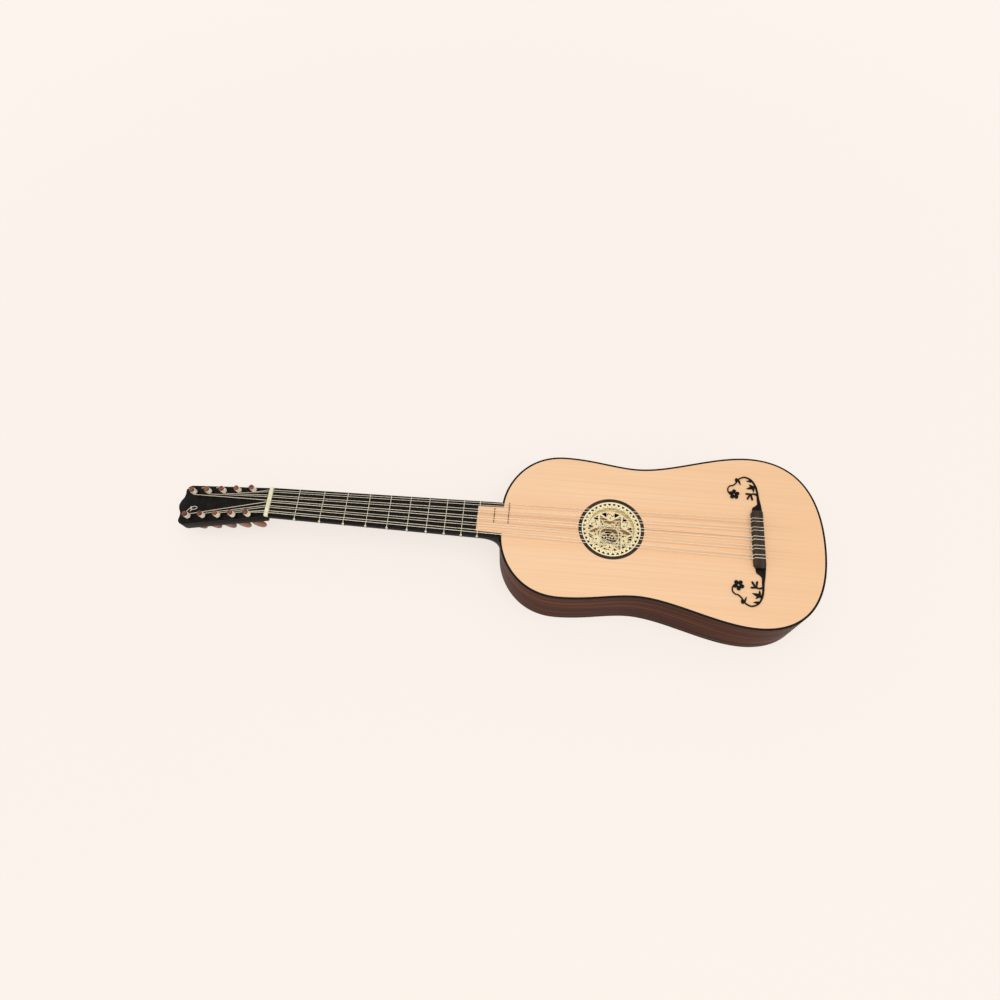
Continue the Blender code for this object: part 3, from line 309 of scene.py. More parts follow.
def makeWood(name):
    look = {**plainWood, **woodLooks[name]}
    roughness = look["roughness"]
    material, tree, shader, place = startMaterial(name, roughness, look["coat"])
    shader.inputs["Specular IOR Level"].default_value = look["shine"]
    if look.get("alongRib"):
        place = addNode(tree, "UVMap", uv_map="grain").outputs[0]
    if look.get("matched"):
        place = matchedHalves(tree, place)
    colors = [srgb(*color) for color in look["colors"]]
    grain = noise(tree, place, look["scale"], 4.0, look["wander"])
    fine = noise(tree, place, [value * look["poreScale"] for value in look["scale"]])
    color = ramp(tree, grain, look["stops"], colors)
    if "browner" in look:
        drift = noiseShare(tree, place, *look["drift"])
        color = tinted(tree, color, drift, look["driftStrength"], srgb(*look["browner"]))
    pores = spread(tree, fine, *look["pores"])
    color = tinted(tree, color, pores, look["poreStrength"], colors[0])
    dull, bright = look["gloss"]
    values = {"Value": grain, "To Min": roughness + dull, "To Max": roughness + bright}
    gloss = addNode(tree, "MapRange", values).outputs[0]
    tree.links.new(gloss, shader.inputs["Roughness"])
    height = calculated(tree, "SUBTRACT", grain, pores)
    finishMaterial(tree, shader, color, height, look["bump"], look["bumpStrength"])
    return material


# Bone with its pores, and twisted gut with slightly darker spiral lines
fibreLooks = {
    "boneNut": {
        "colors": (srgb(226, 216, 172), srgb(248, 243, 212)), "stops": (0.35, 0.6),
        "roughness": 0.34, "coat": 0.1, "fibres": ((900.0, 90.0, 500.0), 3.0, 0.4), "bump": (0.00003, 0.4),
    },
    "gutPale": {
        "colors": (srgb(247, 231, 203), srgb(255, 246, 226)), "stops": (0.3, 0.55),
        "roughness": 0.3, "coat": 0.4, "fibres": ((700.0, 2200.0, 2200.0), 1.0, 0.3),
        "bump": (0.00002, 0.5), "clear": 0.2, "bending": 1.2,
    },
}


def makeFibrous(name):
    look = fibreLooks[name]
    material, tree, shader, place = startMaterial(name, look["roughness"], look["coat"])
    if "clear" in look:
        shader.inputs["Transmission Weight"].default_value = look["clear"]
        shader.inputs["IOR"].default_value = look["bending"]
    fibres = noise(tree, place, *look["fibres"])
    finishMaterial(tree, shader, ramp(tree, fibres, look["stops"], look["colors"]), fibres, *look["bump"])
    return material


cardLook = {
    "colors": (srgb(249, 226, 170), srgb(255, 243, 198)),
    "stops": (0.3, 0.62),
    # Painted shade: steep walls darker, and darker still deeper in the well
    "wall": srgb(238, 216, 158),
    "deepWallShade": srgb(178, 134, 78),
    "wallShadeStrength": 0.85,
    "steepShade": (0.7, 0.2),
    "shadeDeepFrom": 0.011,
    "shadeDeepTo": 0.016,
    # Painted highlight: raised frames paler than the card
    "frame": srgb(255, 246, 208),
    "mottle": ((160.0, 160.0, 160.0), 3.0),
    "fibres": ((1500.0, 1100.0, 1300.0), 2.0, 1.0),
    "roughness": 0.62,
    "bump": (0.00003, 0.5),
}


def makeCard():
    # Parchment: soft mottling, a fine fibrous surface, painted shade on the steep walls that grows darker
    # deeper down, and raised frames painted paler as a painted highlight
    look = cardLook
    material, tree, shader, place = startMaterial("parchmentCard", look["roughness"])
    color = ramp(tree, noise(tree, place, *look["mottle"]), look["stops"], look["colors"])
    # Painted shade: steep faces take the wall colour, which darkens with depth
    facing = axes(tree, addNode(tree, "NewGeometry").outputs["True Normal"])["Z"]
    steepShade = spread(tree, calculated(tree, "ABSOLUTE", facing), *look["steepShade"])
    below = spread(tree, axes(tree, place)["Z"], topZ - look["shadeDeepFrom"], topZ - look["shadeDeepTo"])
    wall = mixed(tree, below, look["wall"], look["deepWallShade"])
    color = tinted(tree, color, steepShade, look["wallShadeStrength"], wall)
    # Painted highlight: faces of the raised frames take a paler colour
    raised = addNode(tree, "Attribute", attribute_name="raised").outputs["Fac"]
    color = mixed(tree, raised, color, look["frame"])
    finishMaterial(tree, shader, color, noise(tree, place, *look["fibres"]), *look["bump"])
    return material


looks = {name: makeWood(name) for name in woodLooks}
looks["spruceTop"] = makeSpruce()
looks["parchmentCard"] = makeCard()
for name in fibreLooks:
    looks[name] = makeFibrous(name)
print("materials made:", len(looks))


# Helpers for the pieces
def joinPart(piece, body, nodes):
    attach(piece, body)
    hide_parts(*nodes)


def addMesh(name, mesh, material):
    data = bpy.data.meshes.new(name)
    mesh.to_mesh(data)
    mesh.free()
    data.materials.append(material)
    return addObject(name, data)


def finishPiece(name, mesh, look, slot, nodes, body="body", smoothAngle=30.0, place=None):
    if place is not None:
        bmesh.ops.transform(mesh, matrix=place, verts=mesh.verts[:])
    piece = addMesh(name, mesh, looks[look])
    piece.data.shade_smooth()
    piece.data.set_sharp_from_angle(angle=math.radians(smoothAngle))
    joinPart(piece, body, nodes)


def closedRing(mesh, points):
    corners = [mesh.verts.new(point) for point in points]
    return [mesh.edges.new((a, b)) for a, b in zip(corners, corners[1:] + corners[:1])]


def makeSkin(name, loops, look, slot, nodes, **finish):
    # Skins a row of closed loops and closes both ends
    mesh = bmesh.new()
    rings = [closedRing(mesh, points) for points in loops]
    for first, second in zip(rings, rings[1:]):
        bmesh.ops.bridge_loops(mesh, edges=first + second)
    for ring in (rings[0], rings[-1]):
        bmesh.ops.contextual_create(mesh, geom=ring)
    bmesh.ops.recalc_face_normals(mesh, faces=mesh.faces[:])
    finishPiece(name, mesh, look, slot, nodes, **finish)


def addPlate(mesh, loops, bottom, top, edge=0.0, segments=2, bothEdges=False):
    # A flat plate between two heights. The first loop is its outline and the others are holes.
    edges = []
    for points in loops:
        edges += closedRing(mesh, [(x, y, bottom) for x, y in points])
    filled = bmesh.ops.triangle_fill(mesh, edges=edges, use_beauty=True, normal=(0, 0, 1))
    faces = [item for item in filled["geom"] if isinstance(item, bmesh.types.BMFace)]
    raised = bmesh.ops.extrude_face_region(mesh, geom=faces, use_keep_orig=True)
    lifted = [item for item in raised["geom"] if isinstance(item, bmesh.types.BMVert)]
    bmesh.ops.translate(mesh, verts=lifted, vec=(0, 0, top - bottom))
    corners = set(lifted)
    for part in edges:
        corners.update(part.verts)
    walls = {face for corner in corners for face in corner.link_faces}
    bmesh.ops.recalc_face_normals(mesh, faces=list(walls))
    if not edge:
        return
    levels = (bottom, top) if bothEdges else (top,)
    rims = set()
    for face in walls:
        for side in face.edges:
            flat = all(min(abs(end.co.z - level) for level in levels) < 1e-7 for end in side.verts)
            if flat and len(side.link_faces) == 2 and side.calc_face_angle(0.0) > 1.0:
                rims.add(side)
    bmesh.ops.bevel(
        mesh, geom=list(rims), offset=edge, offset_type="OFFSET", segments=segments,
        profile=0.5, affect="EDGES", material=-1, clamp_overlap=True,
    )


def makePlate(name, loops, bottom, top, look, slot, nodes, place=None, **edges):
    mesh = bmesh.new()
    addPlate(mesh, loops, bottom, top, **edges)
    finishPiece(name, mesh, look, slot, nodes, place=place)


def makeTube(name, strands, diameter, nodes, body="body"):
    # One piece of gut, as one or more strands: (points, closed, thickness share)
    curve = bpy.data.curves.new(name, "CURVE")
    curve.dimensions = "3D"
    curve.bevel_depth = diameter / 2
    curve.bevel_resolution = 3
    curve.use_fill_caps = True
    for points, closed, share in strands:
        spline = curve.splines.new("POLY")
        spline.points.add(len(points) - 1)
        for point, place in zip(spline.points, points):
            point.co = (*place, 1.0)
            point.radius = share
        spline.use_cyclic_u = closed
    curve.materials.append(looks["gutPale"])
    joinPart(addObject(name, curve), body, nodes)


# Helpers for outlines: points (x, y) in a plane
def polarPoint(radius, angle, center=(0.0, 0.0)):
    return (center[0] + radius * math.cos(angle), center[1] + radius * math.sin(angle))


def arcPoints(center, radius, start, sweep, steps):
    return [polarPoint(radius, start + sweep * step / steps, center) for step in range(steps + 1)]


def evenAngles(count, offset=0.0):
    return [math.tau * (step + offset) / count for step in range(count)]


def circlePoints(radius, sides, center=(0.0, 0.0), start=0.0):
    return arcPoints(center, radius, start, math.tau, sides)[:-1]


def ringLoops(outer, inner, sides, center=(0.0, 0.0)):
    return [circlePoints(outer, sides, center), circlePoints(inner, sides, center)]


def otherSide(points):
    return [(x, -y) for x, y in reversed(points)]


def bothSides(half):
    # A whole outline from its treble half, which ends on the middle line
    return half + otherSide(half[:-1])


def smoothPath(points, steps):
    # A round line through all the points
    places = [Vector(point) for point in points]
    places = [places[0] * 2 - places[1]] + places + [places[-1] * 2 - places[-2]]
    line = []
    for a, b, c, d in zip(places, places[1:], places[2:], places[3:]):
        for step in range(steps):
            t = step / steps
            bend = (c - a) * t + (a * 2 - b * 5 + c * 4 - d) * t * t + (b * 3 - a - c * 3 + d) * t**3
            line.append(b + bend / 2)
    line.append(places[-2])
    return line


# The body. Curves of its treble half from shoulder to tail: steps, then four corners, X from the joint
bodyCurves = (
    (26, (0.0, 0.0212), (0.0, 0.0547), (0.0265, 0.1084), (0.0871, 0.1084)),
    (18, (0.0871, 0.1084), (0.1301, 0.1084), (0.1609, 0.0981), (0.1912, 0.0981)),
    (22, (0.1912, 0.0981), (0.2407, 0.0981), (0.3004, bodyHalf), (0.3528, bodyHalf)),
    (34, (0.3528, bodyHalf), (0.4074, bodyHalf), (tailX - jointX, 0.0977), (tailX - jointX, 0.0)),
)


def trebleOutline(inset):
    # The treble half from shoulder to tail, moved inwards square to the curve
    points = []
    for steps, *corners in bodyCurves:
        a, b, c, d = (Vector((jointX + x, y)) for x, y in corners)
        for step in range(1 if points else 0, steps + 1):
            t = step / steps
            u = 1 - t
            place = a * u**3 + b * 3 * u * u * t + c * 3 * u * t * t + d * t**3
            heading = ((b - a) * u * u + (c - b) * 2 * u * t + (d - c) * t * t).normalized()
            points.append((place.x + heading.y * inset, place.y - heading.x * inset))
    return points


shell = {
    "topThickness": topZ - topUnder,
    "ribThickness": 0.0020,
    "ribInset": 0.00005,
    "bindingWidth": 0.0028,
    "bindingEdge": 0.0006,
    "glueLine": 0.00006,
    "softEdge": 0.0002,
    "tongueTip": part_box("soundboard")[0].x,
    "tongueHalfAtTip": 0.0192,
    "tongueHalfAtBody": 0.0202,
    "ringRadius": 0.0460,
    "ringSides": 128,
    "roseRadius": 0.0414,
}


def makeSoundboard():
    half = trebleOutline(shell["bindingWidth"] + shell["glueLine"])
    front = half[0][0]
    tongue = [(shell["tongueTip"], shell["tongueHalfAtTip"]), (front, shell["tongueHalfAtBody"])]
    outer = bothSides(half) + otherSide(tongue) + tongue
    opening = circlePoints(shell["ringRadius"] + shell["glueLine"], shell["ringSides"], (roseX, 0.0))
    makePlate(
        "top_plate", [outer, opening], topUnder, topZ, "spruceTop", "spruce", ["soundboard"],
        edge=shell["softEdge"], segments=1,
    )


def makeBindings():
    end = shell["tongueHalfAtBody"] + shell["glueLine"]
    halves = [trebleOutline(inset) for inset in (0.0, shell["bindingWidth"])]
    outer, inner = (bothSides([(half[0][0], end)] + half) for half in halves)
    makePlate(
        "edge_strip_top", [outer + inner[::-1]], topUnder, topZ, "ebonyBlack", "ebony", ["binding_top"],
        edge=shell["bindingEdge"], segments=3,
    )
    loops = [bothSides(half) for half in halves]
    makePlate("edge_strip_back", loops, backZ, backTop, "ebonyBlack", "ebony", ["binding_back"])


def makeBack():
    loop = bothSides(trebleOutline(shell["bindingWidth"] + shell["glueLine"]))
    makePlate(
        "back_plate", [loop], backZ, backTop, "rosewoodSides", "rosewood", ["back"],
        edge=shell["softEdge"], segments=1, bothEdges=True,
    )


def markGrain(mesh, loop, count, low):
    # Lays the grain along the bent rib: the distance from the neck, and the height
    reached = [0.0]
    for (x0, y0), (x1, y1) in zip(loop, loop[1:count]):
        reached.append(reached[-1] + math.hypot(x1 - x0, y1 - y0))
    outline = KDTree(len(loop))
    for index, (x, y) in enumerate(loop):
        outline.insert((x, y, 0.0), index)
    outline.balance()
    grain = mesh.loops.layers.uv.new("grain")
    for face in mesh.faces:
        for corner in face.loops:
            place = corner.vert.co
            _, index, _ = outline.find((place.x, place.y, 0.0))
            corner[grain].uv = (reached[min(index, 2 * count - 1 - index)], place.z - low)


def makeRibs():
    seam = shell["glueLine"]
    low = backTop + seam
    for side, word in ((-1, "bass"), (1, "treble")):
        outer, inner = (trebleOutline(inset) for inset in (shell["ribInset"], shell["ribThickness"]))
        outer = [(outer[0][0], seam)] + outer[:-1] + [(outer[-1][0], seam)]
        inner = [(inner[0][0], seam)] + inner[:-1] + [(inner[-1][0], seam)]
        loop = [(x, y * side) for x, y in outer + inner[::-1]]
        mesh = bmesh.new()
        addPlate(mesh, [loop], low, topUnder - seam)
        markGrain(mesh, loop, len(outer), low)
        finishPiece("rib_" + word, mesh, "rosewoodRibs", "rosewood", ["side_" + word])


makeSoundboard()
makeBindings()
makeBack()
makeRibs()
print("body made")


# Neck, fingerboard, nut and frets
neckShape = {
    "halfAtNut": 0.0225,
    "halfAtBody": 0.0275,
    "depthAtNut": 0.0185,
    "depthAtBody": 0.0225,
    "heelLength": 0.0265,
    "heelDepth": 0.0800,
    "roundness": 0.80,
    "sides": 40,
    "heelSteps": 18,
    "jointAlongHead": 0.0062,
    "firstStation": 0.02,
    "seam": 0.0001,
    "softEdge": 0.0003,
}


def between(start, end, share):
    return start + (end - start) * share


def neckHalfAt(x):
    return between(neckShape["halfAtNut"], neckShape["halfAtBody"], (x - nutX) / (jointX - nutX))


def neckDepthAt(x):
    depth = between(neckShape["depthAtNut"], neckShape["depthAtBody"], (x - nutX) / (jointX - nutX))
    intoHeel = (x - (jointX - neckShape["heelLength"])) / neckShape["heelLength"]
    if intoHeel > 0:
        depth = between(depth, neckShape["heelDepth"], 1 - math.sqrt(max(0.0, 1 - intoHeel**2)))
    return depth


def neckProfile(x, grow=0.0, sides=neckShape["sides"]):
    # The round underside, from the treble edge to the bass edge
    half = neckHalfAt(x)
    drop = neckDepthAt(x) - shell["topThickness"]
    points = []
    for step in range(sides + 1):
        across, down = polarPoint(1.0, math.pi * step / sides)
        y = half * math.copysign(abs(across) ** neckShape["roundness"], across)
        z = topUnder - drop * down ** neckShape["roundness"]
        normal = Vector((across / half, -down / drop)).normalized()
        points.append((y + normal.x * grow, z + normal.y * grow))
    return points


def makeNeck():
    seam = neckShape["seam"]
    heelStart = jointX - neckShape["heelLength"]
    stations = [nutX + neckShape["firstStation"], (nutX + heelStart) / 2, heelStart]
    for step in range(1, neckShape["heelSteps"]):
        share = math.sin(math.pi / 2 * step / neckShape["heelSteps"])
        stations.append(heelStart + neckShape["heelLength"] * share)
    stations.append(jointX - seam)
    slope = math.tan(headTilt)
    joint = nutX - neckShape["jointAlongHead"] / math.cos(headTilt)
    rings = [[(joint - (z - topZ) * slope, y, z - seam) for y, z in neckProfile(nutX)]]
    rings += [[(x, y, z - seam) for y, z in neckProfile(x)] for x in stations]
    makeSkin("neck_smooth", rings, "stainedMaple", "stained_maple", ["neck"], smoothAngle=45.0)


def makeFingerboard():
    gap = shell["glueLine"]
    end = jointX - gap
    side = [
        (nutX + gap, neckHalfAt(nutX)),
        (end, neckHalfAt(end)),
        (end, shell["tongueHalfAtBody"] + gap),
        (shell["tongueTip"] - gap, shell["tongueHalfAtTip"] + gap),
    ]
    loops = [side + otherSide(side)]
    makePlate(
        "fingerboard_plate", loops, topUnder, topZ, "ebonyBlack", "ebony", ["fingerboard"],
        edge=neckShape["softEdge"],
    )


courses = {
    "diameters": (0.0009, 0.0008, 0.0009, 0.00075, 0.00065),  # bass to treble
    "strings": 10,
    "nutPitch": 0.0081,
    "nutSpacing": 0.0028,
    "bridgePitch": 0.0137,
    "bridgeSpacing": 0.0048,
    "heightAtNut": 0.0022,
    "heightAtBridge": 0.0055,
}


def stringPlace(number):
    # Strings 0 to 9 from bass to treble: y at the nut, y at the bridge, diameter
    course = number // 2
    middle = course - (len(courses["diameters"]) - 1) / 2
    pair = number % 2 - 0.5
    atNut = middle * courses["nutPitch"] + pair * courses["nutSpacing"]
    atBridge = middle * courses["bridgePitch"] + pair * courses["bridgeSpacing"]
    return atNut, atBridge, courses["diameters"][course]


nutShape = {
    "thickness": 0.0055,
    "height": 0.0027,
    "edge": 0.0009,
    "softEdge": 0.0003,
    "slotSteps": 8,
    "slotRoom": 0.00004,
    "frontGap": 0.00005,
}


def makeNut():
    # A bar across the neck with a round-bottomed slot under each string
    half = neckShape["halfAtNut"]
    height = nutShape["height"]
    edge = nutShape["edge"]
    corner = edge * 0.3
    end = [
        (half, -shell["topThickness"]),
        (half, height - edge),
        (half - corner, height - corner),
        (half - edge, height),
    ]
    outline = list(end)
    for number in reversed(range(courses["strings"])):
        y, _, diameter = stringPlace(number)
        radius = diameter / 2 + nutShape["slotRoom"]
        slot = arcPoints((y, courses["heightAtNut"]), radius, 0.0, -math.pi, nutShape["slotSteps"])
        outline += [(y + radius, height)] + slot + [(y - radius, height)]
    outline += [(-x, y) for x, y in reversed(end)]
    upright = Matrix(((0, 0, 1, nutX), (1, 0, 0, 0), (0, 1, 0, topZ), (0, 0, 0, 1)))
    makePlate(
        "nut_bone", [outline], -nutShape["thickness"], -nutShape["frontGap"], "boneNut", "bone", ["nut"],
        place=upright, edge=nutShape["softEdge"], bothEdges=True,
    )


fretShape = {
    "count": 10,
    "diameter": 0.0009,
    "seat": 0.00003,
    "sides": 30,
    "cornerSteps": 6,
    "knotBelowTop": 0.0002,
    "knotLoops": 2.5,
    "knotSteps": 30,
    "knotRadius": 0.00100,
    "knotFrom": -0.0010,
    "knotHeight": 0.0018,
    "knotShare": 0.9,
    "endStart": (0.0006, -0.0003),
    "endReach": (0.0009, -0.0007, 0.0006),
    "endBend": 0.6,
}


def makeTiedFret(number):
    # Gut tied round the neck, with its knot and two trimmed ends at the bass edge
    shape = fretShape
    name = "tied_fret_%d" % number
    low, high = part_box(name)
    x = (low.x + high.x) / 2
    reach = shape["diameter"] / 2 + shape["seat"]
    half = neckHalfAt(x)
    quarter = math.pi / 2
    path = arcPoints((half, topZ), reach, quarter, -quarter, shape["cornerSteps"])
    path += neckProfile(x, reach, shape["sides"])
    path += arcPoints((-half, topZ), reach, math.pi, -quarter, shape["cornerSteps"])
    loop = [(x, y, z) for y, z in path]
    knot = Vector((x, -half - reach, topZ - shape["knotBelowTop"]))
    wraps = []
    for step in range(shape["knotSteps"] + 1):
        share = step / shape["knotSteps"]
        aside, out = polarPoint(shape["knotRadius"], math.tau * shape["knotLoops"] * share)
        wraps.append(knot + Vector((aside, out, shape["knotFrom"] + shape["knotHeight"] * share)))
    strands = [(loop, True, 1.0), (wraps, False, shape["knotShare"])]
    for side in (-1, 1):
        aside, out = shape["endStart"]
        start = knot + Vector((side * aside, out, 0.0))
        aside, out, up = shape["endReach"]
        tip = Vector((side * aside, out, up))
        strands.append(([start, start + tip * shape["endBend"], start + tip], False, shape["knotShare"]))
    makeTube(name + "_gut", strands, shape["diameter"], [name], name)


bodyFretShape = {"sunk": 0.0002, "softEdge": 0.0003, "endSteps": 8}


def makeBodyFrets():
    for number in (11, 12):
        name = "body_fret_%d" % number
        low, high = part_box(name)
        half = (high.x - low.x) / 2
        middle = (high.x + low.x) / 2
        loop = [(middle + half, high.y), (middle - half, high.y)]
        loop += arcPoints((middle, low.y + half), half, math.pi, math.pi, bodyFretShape["endSteps"])
        makePlate(
            name + "_strip", [loop], topZ - bodyFretShape["sunk"], high.z, "walnutStrip", "walnut", [name],
            edge=bodyFretShape["softEdge"],
        )


makeNeck()
makeFingerboard()
makeNut()
for number in range(1, fretShape["count"] + 1):
    makeTiedFret(number)
makeBodyFrets()
print("neck and frets made")


# Head and pegs, in the frame of the tilted face: x is minus the distance from the nut
headShape = {
    "start": neckShape["jointAlongHead"] + 0.0002,
    "length": 0.1535,
    "halfAtNut": 0.0225,
    "halfAtEnd": 0.0315,
    "thickness": 0.0140,
    "veneer": 0.0015,
    "glueGap": 0.00004,
    "softEdge": 0.0004,
    # Distance from the end, and share of the half width
    "crest": (
        (0.0145, 1.00), (0.0090, 0.94), (0.0055, 0.78), (0.0062, 0.58), (0.0055, 0.40), (0.0018, 0.20),
        (0.0, 0.0),
    ),
    "crestSteps": 5,
    "holeSides": 24,
}
pegShape = {
    "count": 10,
    "tipHeight": 0.0130,
    "tipRadius": 0.0031,
    "buttonRadius": 0.0038,
    "buttonFlatness": 0.55,
    "buttonFrom": 0.06,
    "buttonTurn": 0.64,
    "shaftRadius": 0.0036,
    "shaftEnd": 0.0001,
    "collarRadius": 0.0050,
    "collarLength": 0.0030,
    "collarFoot": 0.0002,
    "collarGap": 0.0003,
    "thumbLength": 0.0240,
    "thumbHalfWidth": 0.0105,
    "thumbLeast": 0.0016,
    "thumbRound": (0.82, 0.62),
    "thumbHalfThickness": 0.0030,
    "thumbTaper": 0.45,
    "thumbTip": (0.75, 12),
    "thumbStart": 0.16,
    "thumbNeck": 0.8,
    "ringSteps": (12, 8, 21),  # button, collar, thumb piece
    "holeClearance": 0.00015,
    "sides": 32,
}


def pegPlaces():
    # Distance along the head and y of each peg, from the joints' places
    places = []
    for number in range(1, pegShape["count"] + 1):
        local = headFace.inverted() @ Vector(turning["peg_%d" % number]["pos_m"])
        places.append((-local.x, local.y))
    return places


def headPlan():
    crest = []
    for short, share in headShape["crest"]:
        crest.append((short - headShape["length"], headShape["halfAtEnd"] * share, 0.0))
    line = smoothPath(crest, headShape["crestSteps"])
    return bothSides([(-headShape["start"], headShape["halfAtNut"])] + [(at.x, at.y) for at in line])


def makeHead():
    radius = pegShape["shaftRadius"] + pegShape["holeClearance"]
    holes = [circlePoints(radius, headShape["holeSides"], (-s, y)) for s, y in pegPlaces()]
    loops = [headPlan()] + holes
    top = -headShape["veneer"]
    makePlate(
        "head_core", loops, top - headShape["thickness"], top - headShape["glueGap"],
        "stainedMaple", "stained_maple", ["head"],
        place=headFace, edge=headShape["softEdge"], bothEdges=True,
    )
    makePlate(
        "head_face", loops, top, 0.0, "ebonyBlack", "ebony", ["head_veneer"],
        place=headFace, edge=headShape["softEdge"],
    )


def pegRings():
    # Height, half width and half thickness of each ring from the tip down
    shape = pegShape
    shaft = shape["shaftRadius"]
    buttonSteps, collarSteps, thumbSteps = shape["ringSteps"]
    rings = []
    for step in range(buttonSteps + 1):
        angle = math.pi * (shape["buttonFrom"] + shape["buttonTurn"] * step / buttonSteps)
        low, radius = polarPoint(shape["buttonRadius"], angle)
        drop = (shape["buttonRadius"] - low) * shape["buttonFlatness"]
        rings.append((shape["tipHeight"] - drop, radius, radius))
    back = -headShape["veneer"] - headShape["thickness"]
    rings.append((back + shape["shaftEnd"], shaft, shaft))
    collar = back - shape["collarGap"]
    for step in range(collarSteps + 1):
        angle = math.pi * step / collarSteps
        radius = shaft + shape["collarFoot"] + (shape["collarRadius"] - shaft) * math.sin(angle)
        rings.append((collar - shape["collarLength"] * (1 - math.cos(angle)) / 2, radius, radius))
    lean, swell = shape["thumbRound"]
    close, sharpness = shape["thumbTip"]
    for step in range(1, thumbSteps + 1):
        along = step / thumbSteps
        width = shape["thumbHalfWidth"] * (math.sin(math.pi * along**lean) ** swell)
        blend = min(1.0, along / shape["thumbStart"])
        width = between(shaft * shape["thumbNeck"], max(width, shape["thumbLeast"]), blend)
        thin = shape["thumbHalfThickness"] * (1 - shape["thumbTaper"] * along)
        thin *= 1 - close * along**sharpness
        rings.append((collar - shape["collarLength"] - shape["thumbLength"] * along, width, thin))
    return rings


def makePeg(number):
    name = "peg_%d" % number
    s, y = pegPlaces()[number - 1]
    place = headFace @ Matrix.Translation((-s, y, 0.0))
    circle = circlePoints(1.0, pegShape["sides"])
    rings = [[(px * wide, py * thin, z) for px, py in circle] for z, wide, thin in pegRings()]
    finish = {"body": name, "smoothAngle": 50.0, "place": place}
    makeSkin(name + "_turned", rings, "plumPegs", "plum", [name], **finish)


makeHead()
for number in range(1, pegShape["count"] + 1):
    makePeg(number)
print("head and pegs made")


# Strings: tied at the bridge, over the nut and wound on the pegs
bridgeShape = {
    "width": 0.0155,
    "height": 0.0085,
    "edge": 0.0012,
    "foot": 0.0015,
    "footHeight": 0.0018,
    "footSlope": 0.0004,
    "endDrop": 0.0024,
    "endSetback": 0.0025,
    "endTaper": 0.0035,
}
windingShape = {
    "lowest": 0.0014,
    "highest": 0.0092,
    "gap": 0.00012,
    "offPeg": 0.00015,
    "lastTurn": 0.25,
    "pointsPerTurn": 20,
    "tailLength": 0.0070,
    "tailSteps": 14,
}
tuftShape = {
    "beyond": 0.1100,  # bass pegs further along the head than this keep a long end
    "length": 0.0620,
    "beside": (0.0100, 0.0105),
    "height": 0.0062,
    "lowest": 0.0012,
    "drift": 0.004,
    "turns": 1.9,
    "tightness": 10,
    "swell": (0.75, 0.35),
    "sway": (0.9, 0.75, 0.30),
    "steps": 72,
}


def stringTie(y, radius, wander):
    # Through the bridge, up behind it, forward over the top, round the string in front, then a short end
    top = topZ + bridgeShape["height"] + radius + 0.00005
    front = bridgeFront
    middle = front + bridgeShape["width"] * 0.5
    behind = front + bridgeShape["width"] + radius + 0.0001
    hole = topZ + courses["heightAtBridge"]
    turn = radius * 2.1
    points = [
        (front - 0.0040, y + turn * 2.2, hole + 0.0028 + wander),
        (front - 0.0028, y + turn * 1.4, hole + 0.0018),
        (front - 0.0020, y + turn * 0.8, hole - turn * 0.4),
        (front - 0.0018, y, hole - turn),
        (front - 0.0014, y - turn, hole),
        (front - 0.0008, y - turn * 0.6, hole + turn * 1.2),
        (front + 0.0002, y - turn * 0.15, top - 0.0004),
        (front + 0.0018, y, top),
        (middle, y, top),
        (behind - 0.0020, y, top),
        (behind - 0.0003, y, top - 0.0007),
        (behind, y, hole + 0.0010),
        (behind - 0.0008, y, hole + 0.0001),
        (middle, y, hole),
        (front - 0.0010, y, hole),
    ]
    return smoothPath(points, 4)


def pegWinding(nutS, nutY, peg, radius):
    # Turns of gut up the peg, from the point where the string reaches it
    shape = windingShape
    s, y = peg
    side = 1.0 if y > 0 else -1.0
    turnRadius = pegShape["tipRadius"] + shape["offPeg"] + radius
    toNut = Vector((nutS - s, nutY - y))
    start = math.atan2(toNut.y, toNut.x) + side * math.acos(turnRadius / toNut.length)
    rise = 2 * radius + shape["gap"]
    fullTurns = math.floor((shape["highest"] - shape["lowest"]) / rise)
    steps = round((fullTurns + shape["lastTurn"]) * shape["pointsPerTurn"])
    points = []
    for step in range(steps + 1):
        turns = step / shape["pointsPerTurn"]
        ahead, aside = polarPoint(turnRadius, start + side * math.tau * turns)
        points.append(headFace @ Vector((-s - ahead, y + aside, shape["lowest"] + rise * turns)))
    return points


def looseTail(start, heading, seed):
    # The cut end of a string, springing away in a loose curl
    wild = random.Random(seed)
    points = []
    place = Vector(start)
    direction = Vector(heading).normalized()
    curl = Vector((wild.uniform(-0.4, 0.4), wild.uniform(-0.4, 0.4), wild.uniform(0.5, 1.0))).normalized()
    for step in range(windingShape["tailSteps"]):
        place = place + direction * windingShape["tailLength"] / windingShape["tailSteps"]
        direction = Matrix.Rotation(wild.uniform(0.16, 0.34), 3, curl) @ direction
        direction.z += 0.02
        direction.normalize()
        points.append(place.copy())
    return points


def tangledTail(start, seed):
    # A long cut end left in loose loops beside its peg, over the face of the head
    shape = tuftShape
    begin = headFace.inverted() @ start
    middle = Vector((begin.x + shape["beside"][0], begin.y + shape["beside"][1], shape["height"]))
    phase = random.Random(seed).uniform(0.0, math.tau)
    along, across, lift = shape["sway"]
    least, more = shape["swell"]
    size = shape["length"] / shape["tightness"]
    points = []
    for step in range(1, shape["steps"] + 1):
        share = step / shape["steps"]
        swing = phase + math.tau * shape["turns"] * share
        reach = size * min(1.0, share * 4) * (least + more * math.sin(swing * 0.43 + seed))
        away = min(1.0, share * 3)
        away = away * away * (3 - 2 * away)
        center = begin.lerp(middle, away) + Vector((shape["drift"] * math.sin(share * 5.0), 0.0, 0.0))
        ahead = along * math.cos(swing)
        aside = across * math.sin(swing + 0.4 * seed)
        place = center + Vector((ahead, aside, lift * math.sin(swing * 1.7))) * reach
        place.z = max(place.z, shape["lowest"])
        points.append(headFace @ place)
    return points


